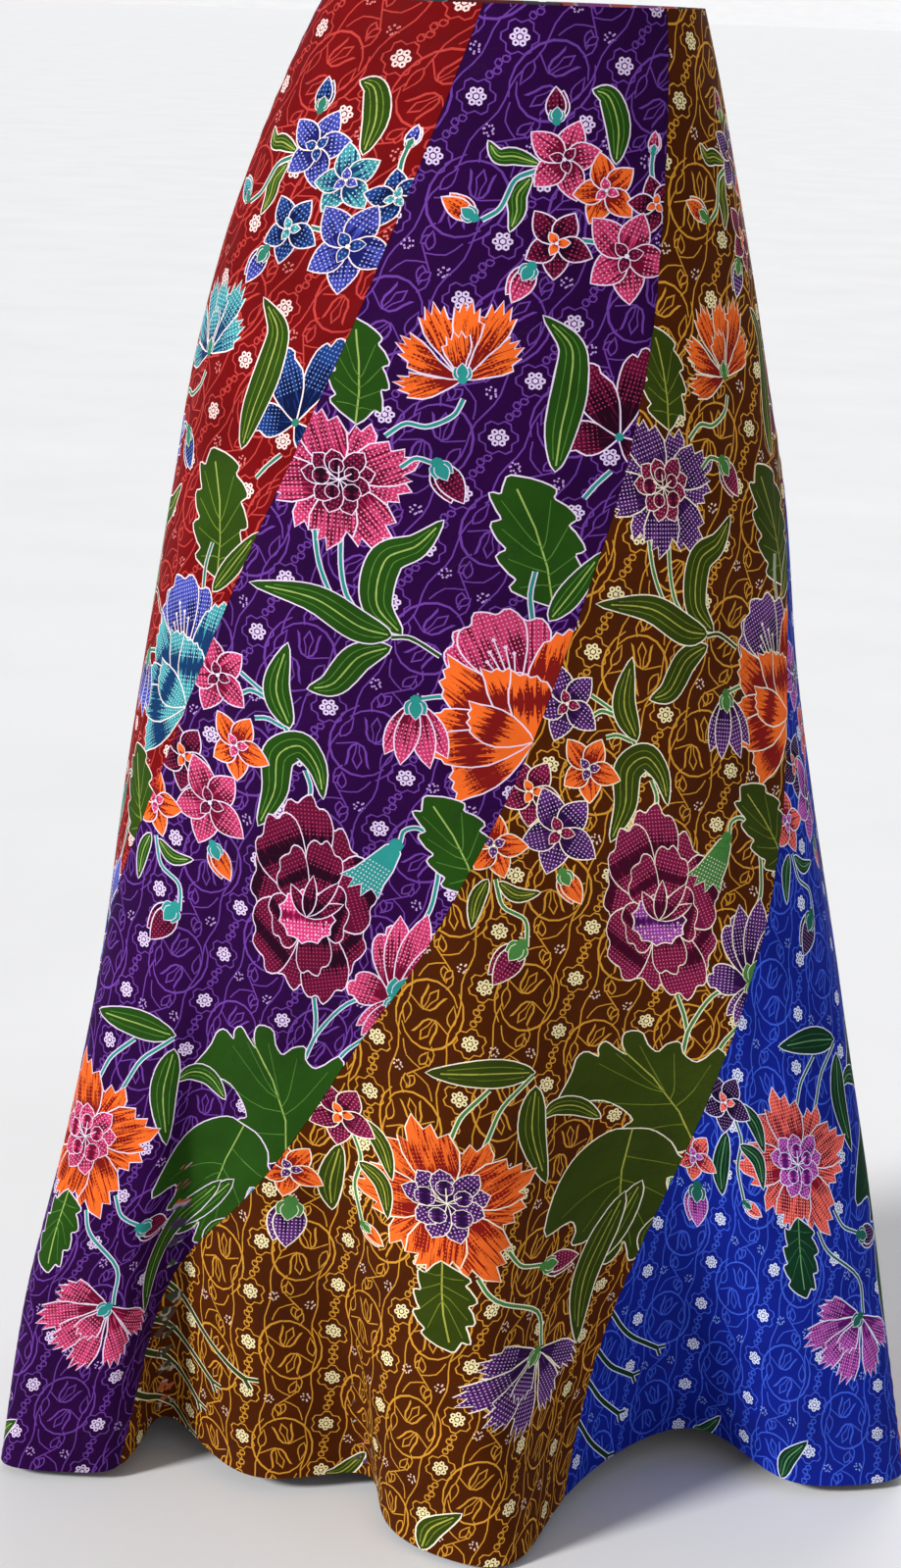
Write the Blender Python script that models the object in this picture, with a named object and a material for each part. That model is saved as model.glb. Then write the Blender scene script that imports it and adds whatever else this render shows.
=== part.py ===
# A long batik skirt of six spiral gores, held open at the waist as when it is worn.
#
# Units are metres and +Z is up. The origin is the middle of the waist edge, and the viewer
# stands on the -Y side. A place on the cloth is a pair: the turn, in degrees round the skirt
# from the middle of the front towards +X, and the drop, in metres below the waist edge.
# Every piece of cloth is a grid of such pairs, so the seams and folds run on from gore to gore.

import math
from collections import namedtuple

import bmesh
import bpy
from mathutils import Matrix, Vector

LENGTH = 0.985            # waist edge to hem
WALL = 0.0015             # cloth thickness
SEAM_GAP = 0.0003         # between neighbouring gores
GORE_COLUMNS = 18
GORE_ROWS = 26
ROW = LENGTH / GORE_ROWS

# The zip in the seam that starts near the middle of the back. Its rows are the gores' rows.
ZIP_SEAM = "seam_4"
ZIP_ROWS = 5
SLIT_WIDTH = 0.0050
TAPE_WIDTH = 0.024
TAPE_ROWS = 6
TAPE_COLUMNS = 8
TAPE_THICK = 0.0010
TAPE_CLEARANCE = 0.0005   # behind the inside of the gores
CHAIN_WIDTH = 0.0038
CHAIN_THICK = 0.0020
CHAIN_COLUMNS = 2
PART_GAP = 0.0003

# The slider and its pull tab, in the slider's own frame: X across the zip, Y up along it, Z out.
SLIDER_DROP = 0.013
SLIDER_SIZE = (0.0080, 0.0110, 0.0025)
SLIDER_BASE = 0.0007      # above the outside of the cloth
SLIDER_ROUND = 0.0008
CROWN_WIDTH = 0.0024
CROWN_LENGTH = 0.0052
CROWN_THICK = 0.0010
CROWN_OPENING = 0.0020    # height of the gap that holds the tab's end bar
TAB_LENGTH = 0.0240
TAB_THICK = 0.0010
TAB_HEAD = 0.0060         # width at the hinge
TAB_TIP = 0.0090          # width of the drop shape
EYE_WIDTH = 0.0034
EYE_LENGTH = 0.0042

# The rings that the cloth hangs through. sway is where the ring's middle lies along X, and
# centre where it lies along Y. front and back are the two half depths, which pass into each
# other at the sides.
Ring = namedtuple("Ring", "drop half_width sway front back centre")
RINGS = [
    Ring(0.000, 0.115, 0.007, 0.094, 0.092, 0.000),
    Ring(0.040, 0.130, 0.003, 0.100, 0.098, 0.000),
    Ring(0.090, 0.146, -0.001, 0.108, 0.112, 0.000),
    Ring(0.150, 0.163, -0.004, 0.117, 0.128, 0.000),
    Ring(0.220, 0.179, -0.005, 0.124, 0.140, 0.001),
    Ring(0.300, 0.194, -0.003, 0.128, 0.145, 0.004),
    Ring(0.400, 0.209, -0.004, 0.130, 0.147, 0.010),
    Ring(0.500, 0.226, -0.002, 0.131, 0.149, 0.016),
    Ring(0.620, 0.246, 0.002, 0.132, 0.152, 0.024),
    Ring(0.740, 0.265, 0.003, 0.132, 0.156, 0.033),
    Ring(0.860, 0.283, 0.001, 0.132, 0.160, 0.042),
    Ring(LENGTH, 0.295, 0.005, 0.132, 0.165, 0.052),
]
SIDE_BLEND = 0.6          # cosine of the turn at which only one of the two depths counts

# The hanging folds. Each one pushes the cloth round its turn to the side (+X) and to the back
# (+Y), and lifts the hem, by these sizes at the hem. spread is its half width in degrees, and
# start is the part of the length above which it has no effect.
Fold = namedtuple("Fold", "turn spread side back lift start")
FOLDS = {
    "left_cone": Fold(-69, 14.0, -0.037, -0.028, 0.000, 0.45),
    "left_valley": Fold(-40, 7.0, -0.016, 0.071, 0.014, 0.45),
    "flat_fold": Fold(-28, 10.0, 0.006, 0.005, 0.002, 0.50),
    "narrow_valley": Fold(-22, 6.6, 0.041, 0.036, 0.006, 0.55),
    "front_cone": Fold(-3, 11.7, 0.042, -0.054, -0.004, 0.45),
    "wide_valley": Fold(27, 17.7, 0.025, 0.097, 0.014, 0.40),
    "right_cone": Fold(76, 15.5, 0.028, -0.015, 0.000, 0.45),
    "right_side_valley": Fold(105, 14.0, -0.020, 0.030, 0.004, 0.45),
    "back_right_cone": Fold(128, 15.0, 0.030, 0.050, 0.000, 0.45),
    "back_right_valley": Fold(152, 13.0, -0.010, -0.060, 0.008, 0.45),
    "back_cone": Fold(176, 15.0, 0.000, 0.050, 0.000, 0.42),
    "back_left_valley": Fold(200, 12.0, 0.000, -0.060, 0.008, 0.50),
    "back_left_cone": Fold(224, 15.0, -0.030, 0.045, 0.000, 0.45),
    "left_side_valley": Fold(250, 14.0, 0.020, -0.020, 0.004, 0.45),
}

# The spiral seams all follow one line round the skirt: its turn at each drop.
SPIRAL = [
    (0.000, 50.5),
    (0.090, 43.0),
    (0.200, 34.0),
    (0.320, 21.0),
    (0.440, 9.0),
    (0.560, -6.5),
    (0.680, -23.0),
    (0.800, -36.0),
    (0.900, -44.0),
    (LENGTH, -49.5),
]

# Each seam is the spiral turned on by "on" degrees, with "bow" more at half length and "hem"
# more at the hem, so that the gores have about the same width in cloth.
SEAMS = {
    "seam_1": {"on": -60, "bow": -7, "hem": -20},
    "seam_2": {"on": 0, "bow": 0, "hem": 0},
    "seam_3": {"on": 60, "bow": 0, "hem": 0},
    "seam_4": {"on": 120, "bow": 0, "hem": 6},
    "seam_5": {"on": 174, "bow": 0, "hem": 12},
    "seam_6": {"on": 226, "bow": -2, "hem": 0},
}
HEM_START = 0.5           # the part of the length above which "hem" has no effect

# The gores from the left of the front round to the back: the seam on the -X side of each, the
# one on its +X side, and the ground colour of its cloth.
GORES = {
    "gore_purple": ("seam_1", "seam_2", (0.055, 0.010, 0.110)),
    "gore_brown": ("seam_2", "seam_3", (0.110, 0.038, 0.012)),
    "gore_blue": ("seam_3", "seam_4", (0.012, 0.030, 0.420)),
    "gore_red_back": ("seam_4", "seam_5", (0.330, 0.010, 0.012)),
    "gore_purple_back": ("seam_5", "seam_6", (0.055, 0.010, 0.110)),
    "gore_red": ("seam_6", "seam_1", (0.330, 0.010, 0.012)),
}


def clear_scene():
    for old in list(bpy.data.objects):
        bpy.data.objects.remove(old, do_unlink=True)


def make_material(name, colour, roughness, metallic=0.0):
    material = bpy.data.materials.new(name)
    material.use_nodes = True
    shader = material.node_tree.nodes["Principled BSDF"]
    shader.inputs["Base Color"].default_value = (*colour, 1.0)
    shader.inputs["Roughness"].default_value = roughness
    shader.inputs["Metallic"].default_value = metallic
    return material


def smooth_curve(stations, place):
    """Value at a place on the smooth curve through (place, value) pairs, without overshoot."""
    last = len(stations) - 1
    slopes = [(stations[i + 1][1] - stations[i][1]) / (stations[i + 1][0] - stations[i][0])
              for i in range(last)]
    i = 0
    while i < last - 1 and place > stations[i + 1][0]:
        i += 1

    def tangent(k):
        if k == 0:
            return slopes[0]
        if k == last:
            return slopes[-1]
        before, after = slopes[k - 1], slopes[k]
        if before * after <= 0:
            return 0.0
        return 2 * before * after / (before + after)

    (x0, y0), (x1, y1) = stations[i], stations[i + 1]
    width = x1 - x0
    u = min(max((place - x0) / width, 0.0), 1.0)
    rise = y0 * (1 + 2 * u) * (1 - u) ** 2 + y1 * u * u * (3 - 2 * u)
    lean = tangent(i) * u * (1 - u) ** 2 - tangent(i + 1) * u * u * (1 - u)
    return rise + lean * width


def ring(column, drop):
    return smooth_curve([(row.drop, getattr(row, column)) for row in RINGS], drop)


def cloth_point(turn, drop):
    """The middle of the cloth's outer face at a turn and a drop."""
    angle = math.radians(turn)
    facing = math.cos(angle)
    blend = min(max(facing / SIDE_BLEND, -1.0), 1.0)
    share = 0.5 + 0.5 * blend * (1.5 - 0.5 * blend * blend)
    depth = ring("back", drop) * (1 - share) + ring("front", drop) * share
    point = Vector((
        ring("sway", drop) + ring("half_width", drop) * math.sin(angle),
        ring("centre", drop) - depth * facing,
        -drop))
    for fold in FOLDS.values():
        away = (turn - fold.turn + 180) % 360 - 180
        run = min(max((drop / LENGTH - fold.start) / (1 - fold.start), 0.0), 1.0)
        push = math.exp(-(away / fold.spread) ** 2) * run * run * (1.6 - 0.6 * run)
        point += push * Vector((fold.side, fold.back, fold.lift))
    return point


def cloth_normal(turn, drop):
    """Unit vector out of the cloth, over a patch wide enough to be calm in the tight folds."""
    step_turn = 3.0
    step_drop = 0.015
    low = min(drop + step_drop, LENGTH)
    high = max(drop - step_drop, 0.0)
    along = cloth_point(turn + step_turn, drop) - cloth_point(turn - step_turn, drop)
    down = cloth_point(turn, low) - cloth_point(turn, high)
    return down.cross(along).normalized()


def seam_turn(seam, drop):
    bow = math.sin(math.pi * drop / LENGTH) ** 2
    low = max((drop / LENGTH - HEM_START) / (1 - HEM_START), 0.0)
    hem = low * low * (3 - 2 * low)
    sizes = SEAMS[seam]
    return smooth_curve(SPIRAL, drop) + sizes["on"] + sizes["bow"] * bow + sizes["hem"] * hem


def seam_frame(seam, drop):
    """Point, direction across the seam towards more turn, and outward normal."""
    step = 0.002
    low = min(drop + step, LENGTH)
    high = max(drop - step, 0.0)
    turn = seam_turn(seam, drop)
    tangent = cloth_point(seam_turn(seam, low), low) - cloth_point(seam_turn(seam, high), high)
    normal = cloth_normal(turn, drop)
    return cloth_point(turn, drop), tangent.cross(normal).normalized() * -1, normal


def seam_half_gap(seam, drop):
    if seam == ZIP_SEAM and drop < (ZIP_ROWS + 0.5) * ROW:
        return SLIT_WIDTH / 2
    return SEAM_GAP / 2


def split_quads(bm, number, inner):
    """Split every four-sided face so that folds stay smooth and facing rims stay parallel."""
    for face in [face for face in bm.faces if len(face.verts) == 4]:
        by_number = sorted(face.verts, key=lambda vert: (vert[number], vert in inner))
        if by_number[0][number] == by_number[1][number]:
            bmesh.utils.face_split(face, by_number[0], by_number[3])
        else:
            bmesh.utils.face_split(face, by_number[1], by_number[2])


def make_wall(name, columns, rows, place, thickness):
    """A closed wall. place(s, t) gives the outer point and normal, for s and t from 0 to 1."""
    bm = bmesh.new()
    number = bm.verts.layers.int.new("number")
    bmesh.ops.create_grid(bm, x_segments=columns, y_segments=rows, size=0.5)
    normals = []
    for vert in bm.verts:
        point, normal = place(vert.co.x + 0.5, 0.5 - vert.co.y)
        vert.co = point
        vert[number] = len(normals)
        normals.append(normal)
    made = bmesh.ops.extrude_face_region(bm, geom=bm.faces[:])
    inner = {item for item in made["geom"] if isinstance(item, bmesh.types.BMVert)}
    for vert in inner:
        vert.co -= normals[vert[number]] * thickness
    split_quads(bm, number, inner)
    bmesh.ops.recalc_face_normals(bm, faces=bm.faces[:])
    mesh = bpy.data.meshes.new(name)
    bm.to_mesh(mesh)
    bm.free()
    return mesh


def add_object(collection, name, mesh, material):
    mesh.materials.append(material)
    obj = bpy.data.objects.new(name, mesh)
    collection.objects.link(obj)
    return obj


def gore_place(left, right):
    def place(s, t):
        drop = t * LENGTH
        left_turn = seam_turn(left, drop)
        right_turn = seam_turn(right, drop)
        if right_turn < left_turn:
            right_turn += 360
        if s < 1e-6:
            point, across, normal = seam_frame(left, drop)
            return point + across * seam_half_gap(left, drop), normal
        if s > 1 - 1e-6:
            point, across, normal = seam_frame(right, drop)
            return point - across * seam_half_gap(right, drop), normal
        turn = left_turn + (right_turn - left_turn) * s
        return cloth_point(turn, drop), cloth_normal(turn, drop)
    return place


def make_gore(collection, name):
    left, right, colour = GORES[name]
    mesh = make_wall(name, GORE_COLUMNS, GORE_ROWS, gore_place(left, right), WALL)
    mesh.shade_smooth()
    mesh.set_sharp_from_angle(angle=math.radians(50))
    return add_object(collection, name, mesh, make_material(name, colour, 0.72))


def zip_place(width, depth, rows):
    """Places for a strip down the zip's seam, at a depth behind the cloth's outside."""
    def place(s, t):
        drop = t * rows * ROW
        point, across, normal = seam_frame(ZIP_SEAM, drop)
        turn = seam_turn(ZIP_SEAM, drop)
        per_degree = (cloth_point(turn + 0.5, drop) - cloth_point(turn - 0.5, drop)).length
        aside = (s - 0.5) * width
        edge_turn = turn + aside / per_degree
        side_normal = cloth_normal(edge_turn, drop)
        return cloth_point(edge_turn, drop) - side_normal * depth, side_normal
    return place


def make_zip_tape(collection):
    depth = WALL + TAPE_CLEARANCE
    place = zip_place(TAPE_WIDTH, depth, TAPE_ROWS)
    mesh = make_wall("zip_tape", TAPE_COLUMNS, TAPE_ROWS, place, TAPE_THICK)
    return add_object(collection, "zip_tape", mesh, make_material("zip_tape", (0.02, 0.02, 0.03), 0.8))


def make_zip_chain(collection):
    depth = WALL + TAPE_CLEARANCE - PART_GAP - CHAIN_THICK
    place = zip_place(CHAIN_WIDTH, depth, ZIP_ROWS)
    mesh = make_wall("zip_chain", CHAIN_COLUMNS, ZIP_ROWS, place, CHAIN_THICK)
    return add_object(collection, "zip_chain", mesh, make_material("zip_chain", (0.03, 0.03, 0.04), 0.5))


def slider_matrix():
    """Where the slider sits on the first row of the zip, with its own X, Y and Z as columns."""
    top, top_across, _ = seam_frame(ZIP_SEAM, 0.0)
    low, low_across, _ = seam_frame(ZIP_SEAM, ROW)
    up = (top - low).normalized()
    out = (top_across + low_across).cross(up).normalized()
    across = up.cross(out)
    turn = Matrix((across, up, out)).transposed().to_4x4()
    return Matrix.Translation(top.lerp(low, SLIDER_DROP / ROW)) @ turn


def box_mesh(name, size, centre, round_by=0.0):
    bm = bmesh.new()
    bmesh.ops.create_cube(bm, size=1.0)
    bmesh.ops.scale(bm, vec=size, verts=bm.verts)
    if round_by:
        upright = [edge for edge in bm.edges
                   if abs(edge.verts[0].co.z - edge.verts[1].co.z) > size[2] / 2]
        bmesh.ops.bevel(bm, geom=upright, offset=round_by * 2.5, segments=4, profile=0.5,
                        affect="EDGES")
        top = [edge for edge in bm.edges
               if min(vert.co.z for vert in edge.verts) > size[2] / 2 - 1e-6]
        bmesh.ops.bevel(bm, geom=top, offset=round_by, segments=2, profile=0.5, affect="EDGES")
    bmesh.ops.translate(bm, vec=centre, verts=bm.verts)
    mesh = bpy.data.meshes.new(name)
    bm.to_mesh(mesh)
    bm.free()
    return mesh


def make_zip_slider(collection, cutters, place):
    metal = make_material("zip_slider", (0.45, 0.42, 0.36), 0.35, 1.0)
    top = SLIDER_BASE + SLIDER_SIZE[2]
    body = box_mesh("zip_slider", SLIDER_SIZE, (0, 0, SLIDER_BASE + SLIDER_SIZE[2] / 2), SLIDER_ROUND)
    slider = add_object(collection, "zip_slider", body, metal)
    slider.matrix_world = place

    sink = 0.0004         # how far the crown's feet are let into the body
    height = CROWN_OPENING + CROWN_THICK
    crown_mesh = box_mesh("crown", (CROWN_WIDTH, CROWN_LENGTH, height + sink),
                          (0, 0, top + (height - sink) / 2))
    crown = add_object(cutters, "crown", crown_mesh, metal)
    hole_size = (CROWN_WIDTH * 2, CROWN_LENGTH - 2 * CROWN_THICK, CROWN_OPENING)
    hole_mesh = box_mesh("crown_hole", hole_size, (0, 0, top + CROWN_OPENING / 2))
    hole = add_object(cutters, "crown_hole", hole_mesh, metal)
    for helper in (crown, hole):
        helper.matrix_world = place
        helper.hide_render = True
        helper.display_type = "WIRE"
    arch = slider.modifiers.new("crown", "BOOLEAN")
    arch.operation = "UNION"
    arch.object = crown
    gap = slider.modifiers.new("crown_gap", "BOOLEAN")
    gap.operation = "DIFFERENCE"
    gap.object = hole
    return slider


def tab_outline():
    """Half outline of the pull tab, from the hinge end to the tip: (half width, distance)."""
    neck = EYE_LENGTH + TAB_THICK
    half_head = TAB_HEAD / 2
    half_tip = TAB_TIP / 2
    drop_centre = TAB_LENGTH - TAB_THICK / 2 - half_tip
    points = [(half_head, -TAB_THICK / 2), (half_head, neck)]
    for step in range(7):
        angle = math.radians(step * 15)
        points.append((half_tip * math.cos(angle), drop_centre + half_tip * math.sin(angle)))
    return points


def make_zip_pull(collection, cutters, place):
    metal = make_material("zip_pull", (0.45, 0.42, 0.36), 0.35, 1.0)
    axis_height = SLIDER_BASE + SLIDER_SIZE[2] + CROWN_OPENING / 2
    hinge = place @ Matrix.Translation((0, 0, axis_height))
    half = tab_outline()
    ring_points = [(x, -y) for x, y in half] + [(-x, -y) for x, y in reversed(half[:-1])]
    bm = bmesh.new()
    verts = [bm.verts.new((x, y, -TAB_THICK / 2)) for x, y in ring_points]
    face = bm.faces.new(verts)
    made = bmesh.ops.extrude_face_region(bm, geom=[face])
    raised = [item for item in made["geom"] if isinstance(item, bmesh.types.BMVert)]
    bmesh.ops.translate(bm, vec=(0, 0, TAB_THICK), verts=raised)
    bmesh.ops.recalc_face_normals(bm, faces=bm.faces[:])
    mesh = bpy.data.meshes.new("zip_pull")
    bm.to_mesh(mesh)
    bm.free()
    pull = add_object(collection, "zip_pull", mesh, metal)
    pull.matrix_world = hinge

    eye_middle = -(TAB_THICK / 2 + EYE_LENGTH / 2)
    eye_mesh = box_mesh("pull_eye", (EYE_WIDTH, EYE_LENGTH, TAB_THICK * 4), (0, eye_middle, 0))
    eye = add_object(cutters, "pull_eye", eye_mesh, metal)
    eye.matrix_world = hinge
    eye.hide_render = True
    eye.display_type = "WIRE"
    cut = pull.modifiers.new("eye", "BOOLEAN")
    cut.operation = "DIFFERENCE"
    cut.object = eye
    return pull


def main():
    clear_scene()
    skirt = bpy.data.collections.new("batik_skirt")
    cutters = bpy.data.collections.new("batik_skirt_cutters")
    bpy.context.scene.collection.children.link(skirt)
    bpy.context.scene.collection.children.link(cutters)
    for name in GORES:
        make_gore(skirt, name)
    make_zip_tape(skirt)
    make_zip_chain(skirt)
    place = slider_matrix()
    make_zip_slider(skirt, cutters, place)
    make_zip_pull(skirt, cutters, place)


main()
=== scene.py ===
# %% [markdown]
# # A long batik skirt of spiral gores
#
# This lesson dresses a plain model of a skirt. The real skirt is sewn from six long strips of
# cotton, called gores, which wind round the body from waist to hem. All are cut from one batik
# design in four colourways: red, purple, brown and blue.
#
# The plain model gives the size and the hanging folds. Here each gore becomes thin cloth with its
# print, and the zip gets its tape, teeth and brass.

# %% Start from the plain model
import math
from collections import namedtuple

import bmesh
import bpy
import numpy as np
from mathutils import Matrix, Vector
from mathutils.geometry import delaunay_2d_cdt


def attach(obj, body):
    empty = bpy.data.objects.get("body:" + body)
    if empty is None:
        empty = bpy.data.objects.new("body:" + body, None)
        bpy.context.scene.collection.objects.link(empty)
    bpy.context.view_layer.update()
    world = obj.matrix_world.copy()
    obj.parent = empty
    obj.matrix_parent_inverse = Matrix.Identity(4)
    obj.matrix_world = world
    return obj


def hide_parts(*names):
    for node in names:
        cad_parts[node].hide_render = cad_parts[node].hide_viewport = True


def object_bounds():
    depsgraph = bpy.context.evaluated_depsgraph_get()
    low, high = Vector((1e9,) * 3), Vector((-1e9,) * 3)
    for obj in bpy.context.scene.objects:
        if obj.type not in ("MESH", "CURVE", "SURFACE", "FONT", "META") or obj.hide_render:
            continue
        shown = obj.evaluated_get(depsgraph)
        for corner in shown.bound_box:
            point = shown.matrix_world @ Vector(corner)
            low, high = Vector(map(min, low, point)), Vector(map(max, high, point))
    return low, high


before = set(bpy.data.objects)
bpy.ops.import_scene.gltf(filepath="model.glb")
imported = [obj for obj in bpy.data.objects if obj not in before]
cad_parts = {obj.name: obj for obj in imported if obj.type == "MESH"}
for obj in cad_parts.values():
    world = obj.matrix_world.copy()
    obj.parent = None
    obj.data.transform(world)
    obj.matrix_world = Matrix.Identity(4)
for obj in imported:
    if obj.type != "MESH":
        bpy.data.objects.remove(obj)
plain_box = [list(corner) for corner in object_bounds()]
print("plain model's box:", plain_box)

# %% [markdown]
# ## The form of the cloth
#
# A skirt on a body is a tube that widens to the hips and then flares into folds. One function can
# describe it: it takes a direction round the waist (turn, in degrees, 0 at the front) and a
# distance below the waist (drop, in metres), and gives a point. The tables are those of the plain
# model: rings for the body's form, pushes for the big folds, and a curve for the spiral seams.

# %% Rings, folds and seams
LENGTH = 0.985
WALL = 0.0015
SEAM_GAP = 0.0003

# drop, half width, sway, front depth, back depth, centre
RINGS = np.array([
    (0.000, 0.115, 0.007, 0.094, 0.092, 0.000),
    (0.040, 0.130, 0.003, 0.100, 0.098, 0.000),
    (0.090, 0.146, -0.001, 0.108, 0.112, 0.000),
    (0.150, 0.163, -0.004, 0.117, 0.128, 0.000),
    (0.220, 0.179, -0.005, 0.124, 0.140, 0.001),
    (0.300, 0.194, -0.003, 0.128, 0.145, 0.004),
    (0.400, 0.209, -0.004, 0.130, 0.147, 0.010),
    (0.500, 0.226, -0.002, 0.131, 0.149, 0.016),
    (0.620, 0.246, 0.002, 0.132, 0.152, 0.024),
    (0.740, 0.265, 0.003, 0.132, 0.156, 0.033),
    (0.860, 0.283, 0.001, 0.132, 0.160, 0.042),
    (LENGTH, 0.295, 0.005, 0.132, 0.165, 0.052),
])

Fold = namedtuple("Fold", "turn spread side back lift start")
FOLDS = [
    Fold(-69, 14.0, -0.037, -0.028, 0.000, 0.45),
    Fold(-40, 7.0, -0.016, 0.071, 0.014, 0.45),
    Fold(-28, 10.0, 0.006, 0.005, 0.002, 0.50),
    Fold(-22, 6.6, 0.041, 0.036, 0.006, 0.55),
    Fold(-3, 11.7, 0.042, -0.054, -0.004, 0.45),
    Fold(27, 17.7, 0.025, 0.097, 0.014, 0.40),
    Fold(76, 15.5, 0.028, -0.015, 0.000, 0.45),
    Fold(105, 14.0, -0.020, 0.030, 0.004, 0.45),
    Fold(128, 15.0, 0.030, 0.050, 0.000, 0.45),
    Fold(152, 13.0, -0.010, -0.060, 0.008, 0.45),
    Fold(176, 15.0, 0.000, 0.050, 0.000, 0.42),
    Fold(200, 12.0, 0.000, -0.060, 0.008, 0.50),
    Fold(224, 15.0, -0.030, 0.045, 0.000, 0.45),
    Fold(250, 14.0, 0.020, -0.020, 0.004, 0.45),
]

# drop, turn of the spiral that the seams follow
SPIRAL = np.array([
    (0.000, 50.5), (0.090, 43.0), (0.200, 34.0), (0.320, 21.0), (0.440, 9.0),
    (0.560, -6.5), (0.680, -23.0), (0.800, -36.0), (0.900, -44.0), (LENGTH, -49.5),
])

Seam = namedtuple("Seam", "on bow hem")
SEAMS = {
    "seam_1": Seam(-60, -7, -20),
    "seam_2": Seam(0, 0, 0),
    "seam_3": Seam(60, 0, 0),
    "seam_4": Seam(120, 0, 6),
    "seam_5": Seam(174, 0, 12),
    "seam_6": Seam(226, -2, 0),
}

# gore: its left seam, right seam and colourway
GORES = {
    "gore_purple": ("seam_1", "seam_2", "purple"),
    "gore_brown": ("seam_2", "seam_3", "brown"),
    "gore_blue": ("seam_3", "seam_4", "blue"),
    "gore_red_back": ("seam_4", "seam_5", "red"),
    "gore_purple_back": ("seam_5", "seam_6", "purple"),
    "gore_red": ("seam_6", "seam_1", "red"),
}
print(len(GORES), "gores,", len(FOLDS), "folds")

# %% Smooth curves through the tables


def smooth_curve(stations, values, places):
    """A curve through a table's values that never swings past them."""
    slope = np.diff(values) / np.diff(stations)
    tangent = np.concatenate([[slope[0]], np.zeros(len(slope) - 1), [slope[-1]]])
    before, after = slope[:-1], slope[1:]
    same = before * after > 0
    tangent[1:-1][same] = 2 * before[same] * after[same] / (before + after)[same]
    step = np.clip(np.searchsorted(stations, places) - 1, 0, len(slope) - 1)
    width = np.diff(stations)[step]
    part = np.clip((places - stations[step]) / width, 0, 1)
    level = values[step] * (1 + 2 * part) * (1 - part) ** 2
    level += values[step + 1] * part**2 * (3 - 2 * part)
    swing = tangent[step] * part * (1 - part) ** 2 - tangent[step + 1] * part**2 * (1 - part)
    return level + width * swing


def ease(value):
    value = np.clip(value, 0.0, 1.0)
    return value * value * (3 - 2 * value)


def seam_turn(name, drop):
    seam = SEAMS[name]
    bow = np.sin(np.pi * drop / LENGTH) ** 2
    hem = ease((drop / LENGTH - 0.5) / 0.5)
    return smooth_curve(SPIRAL[:, 0], SPIRAL[:, 1], drop) + seam.on + seam.bow * bow + seam.hem * hem


print("seam 2 ends at turn", seam_turn("seam_2", np.array([LENGTH])))

# %% The cloth's surface


def cloth_form(turn, drop):
    """Points of the plain model's outer face, with its big folds."""
    rings = [smooth_curve(RINGS[:, 0], RINGS[:, column], drop) for column in range(1, 6)]
    half, sway, front, back, centre = rings
    angle = np.radians(turn)
    facing = np.cos(angle)
    blend = np.clip(facing / 0.6, -1, 1)
    share = 0.5 + 0.5 * blend * (1.5 - 0.5 * blend**2)
    depth = back * (1 - share) + front * share
    place = np.stack([sway + half * np.sin(angle), centre - depth * facing, -drop], -1)
    for fold in FOLDS:
        away = (turn - fold.turn + 180) % 360 - 180
        run = np.clip((drop / LENGTH - fold.start) / (1 - fold.start), 0, 1)
        push = np.exp(-((away / fold.spread) ** 2)) * run**2 * (1.6 - 0.6 * run)
        place = place + push[..., None] * np.array([fold.side, fold.back, fold.lift])
    return place


def facing_of(surface, turn, drop, turn_step=1.0, drop_step=0.006):
    """Unit vectors straight out of a surface."""
    along = surface(turn + turn_step, drop) - surface(turn - turn_step, drop)
    down = surface(turn, drop + drop_step) - surface(turn, drop - drop_step)
    out = np.cross(down, along)
    return out / np.linalg.norm(out, axis=-1, keepdims=True)


print("front of the waist:", cloth_form(np.array([0.0]), np.array([0.0]))[0])

# %% [markdown]
# ## Creases
#
# Between its big folds, hanging cotton has soft troughs and ridges: short ones under the waist, and
# long ones that run on down into the folds. Cloth simulation could make them, but the photograph's
# own creases are few and gentle, so each is a row of a table: where it is, how it leans, how deep
# and how wide it is. No two are alike.

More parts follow.
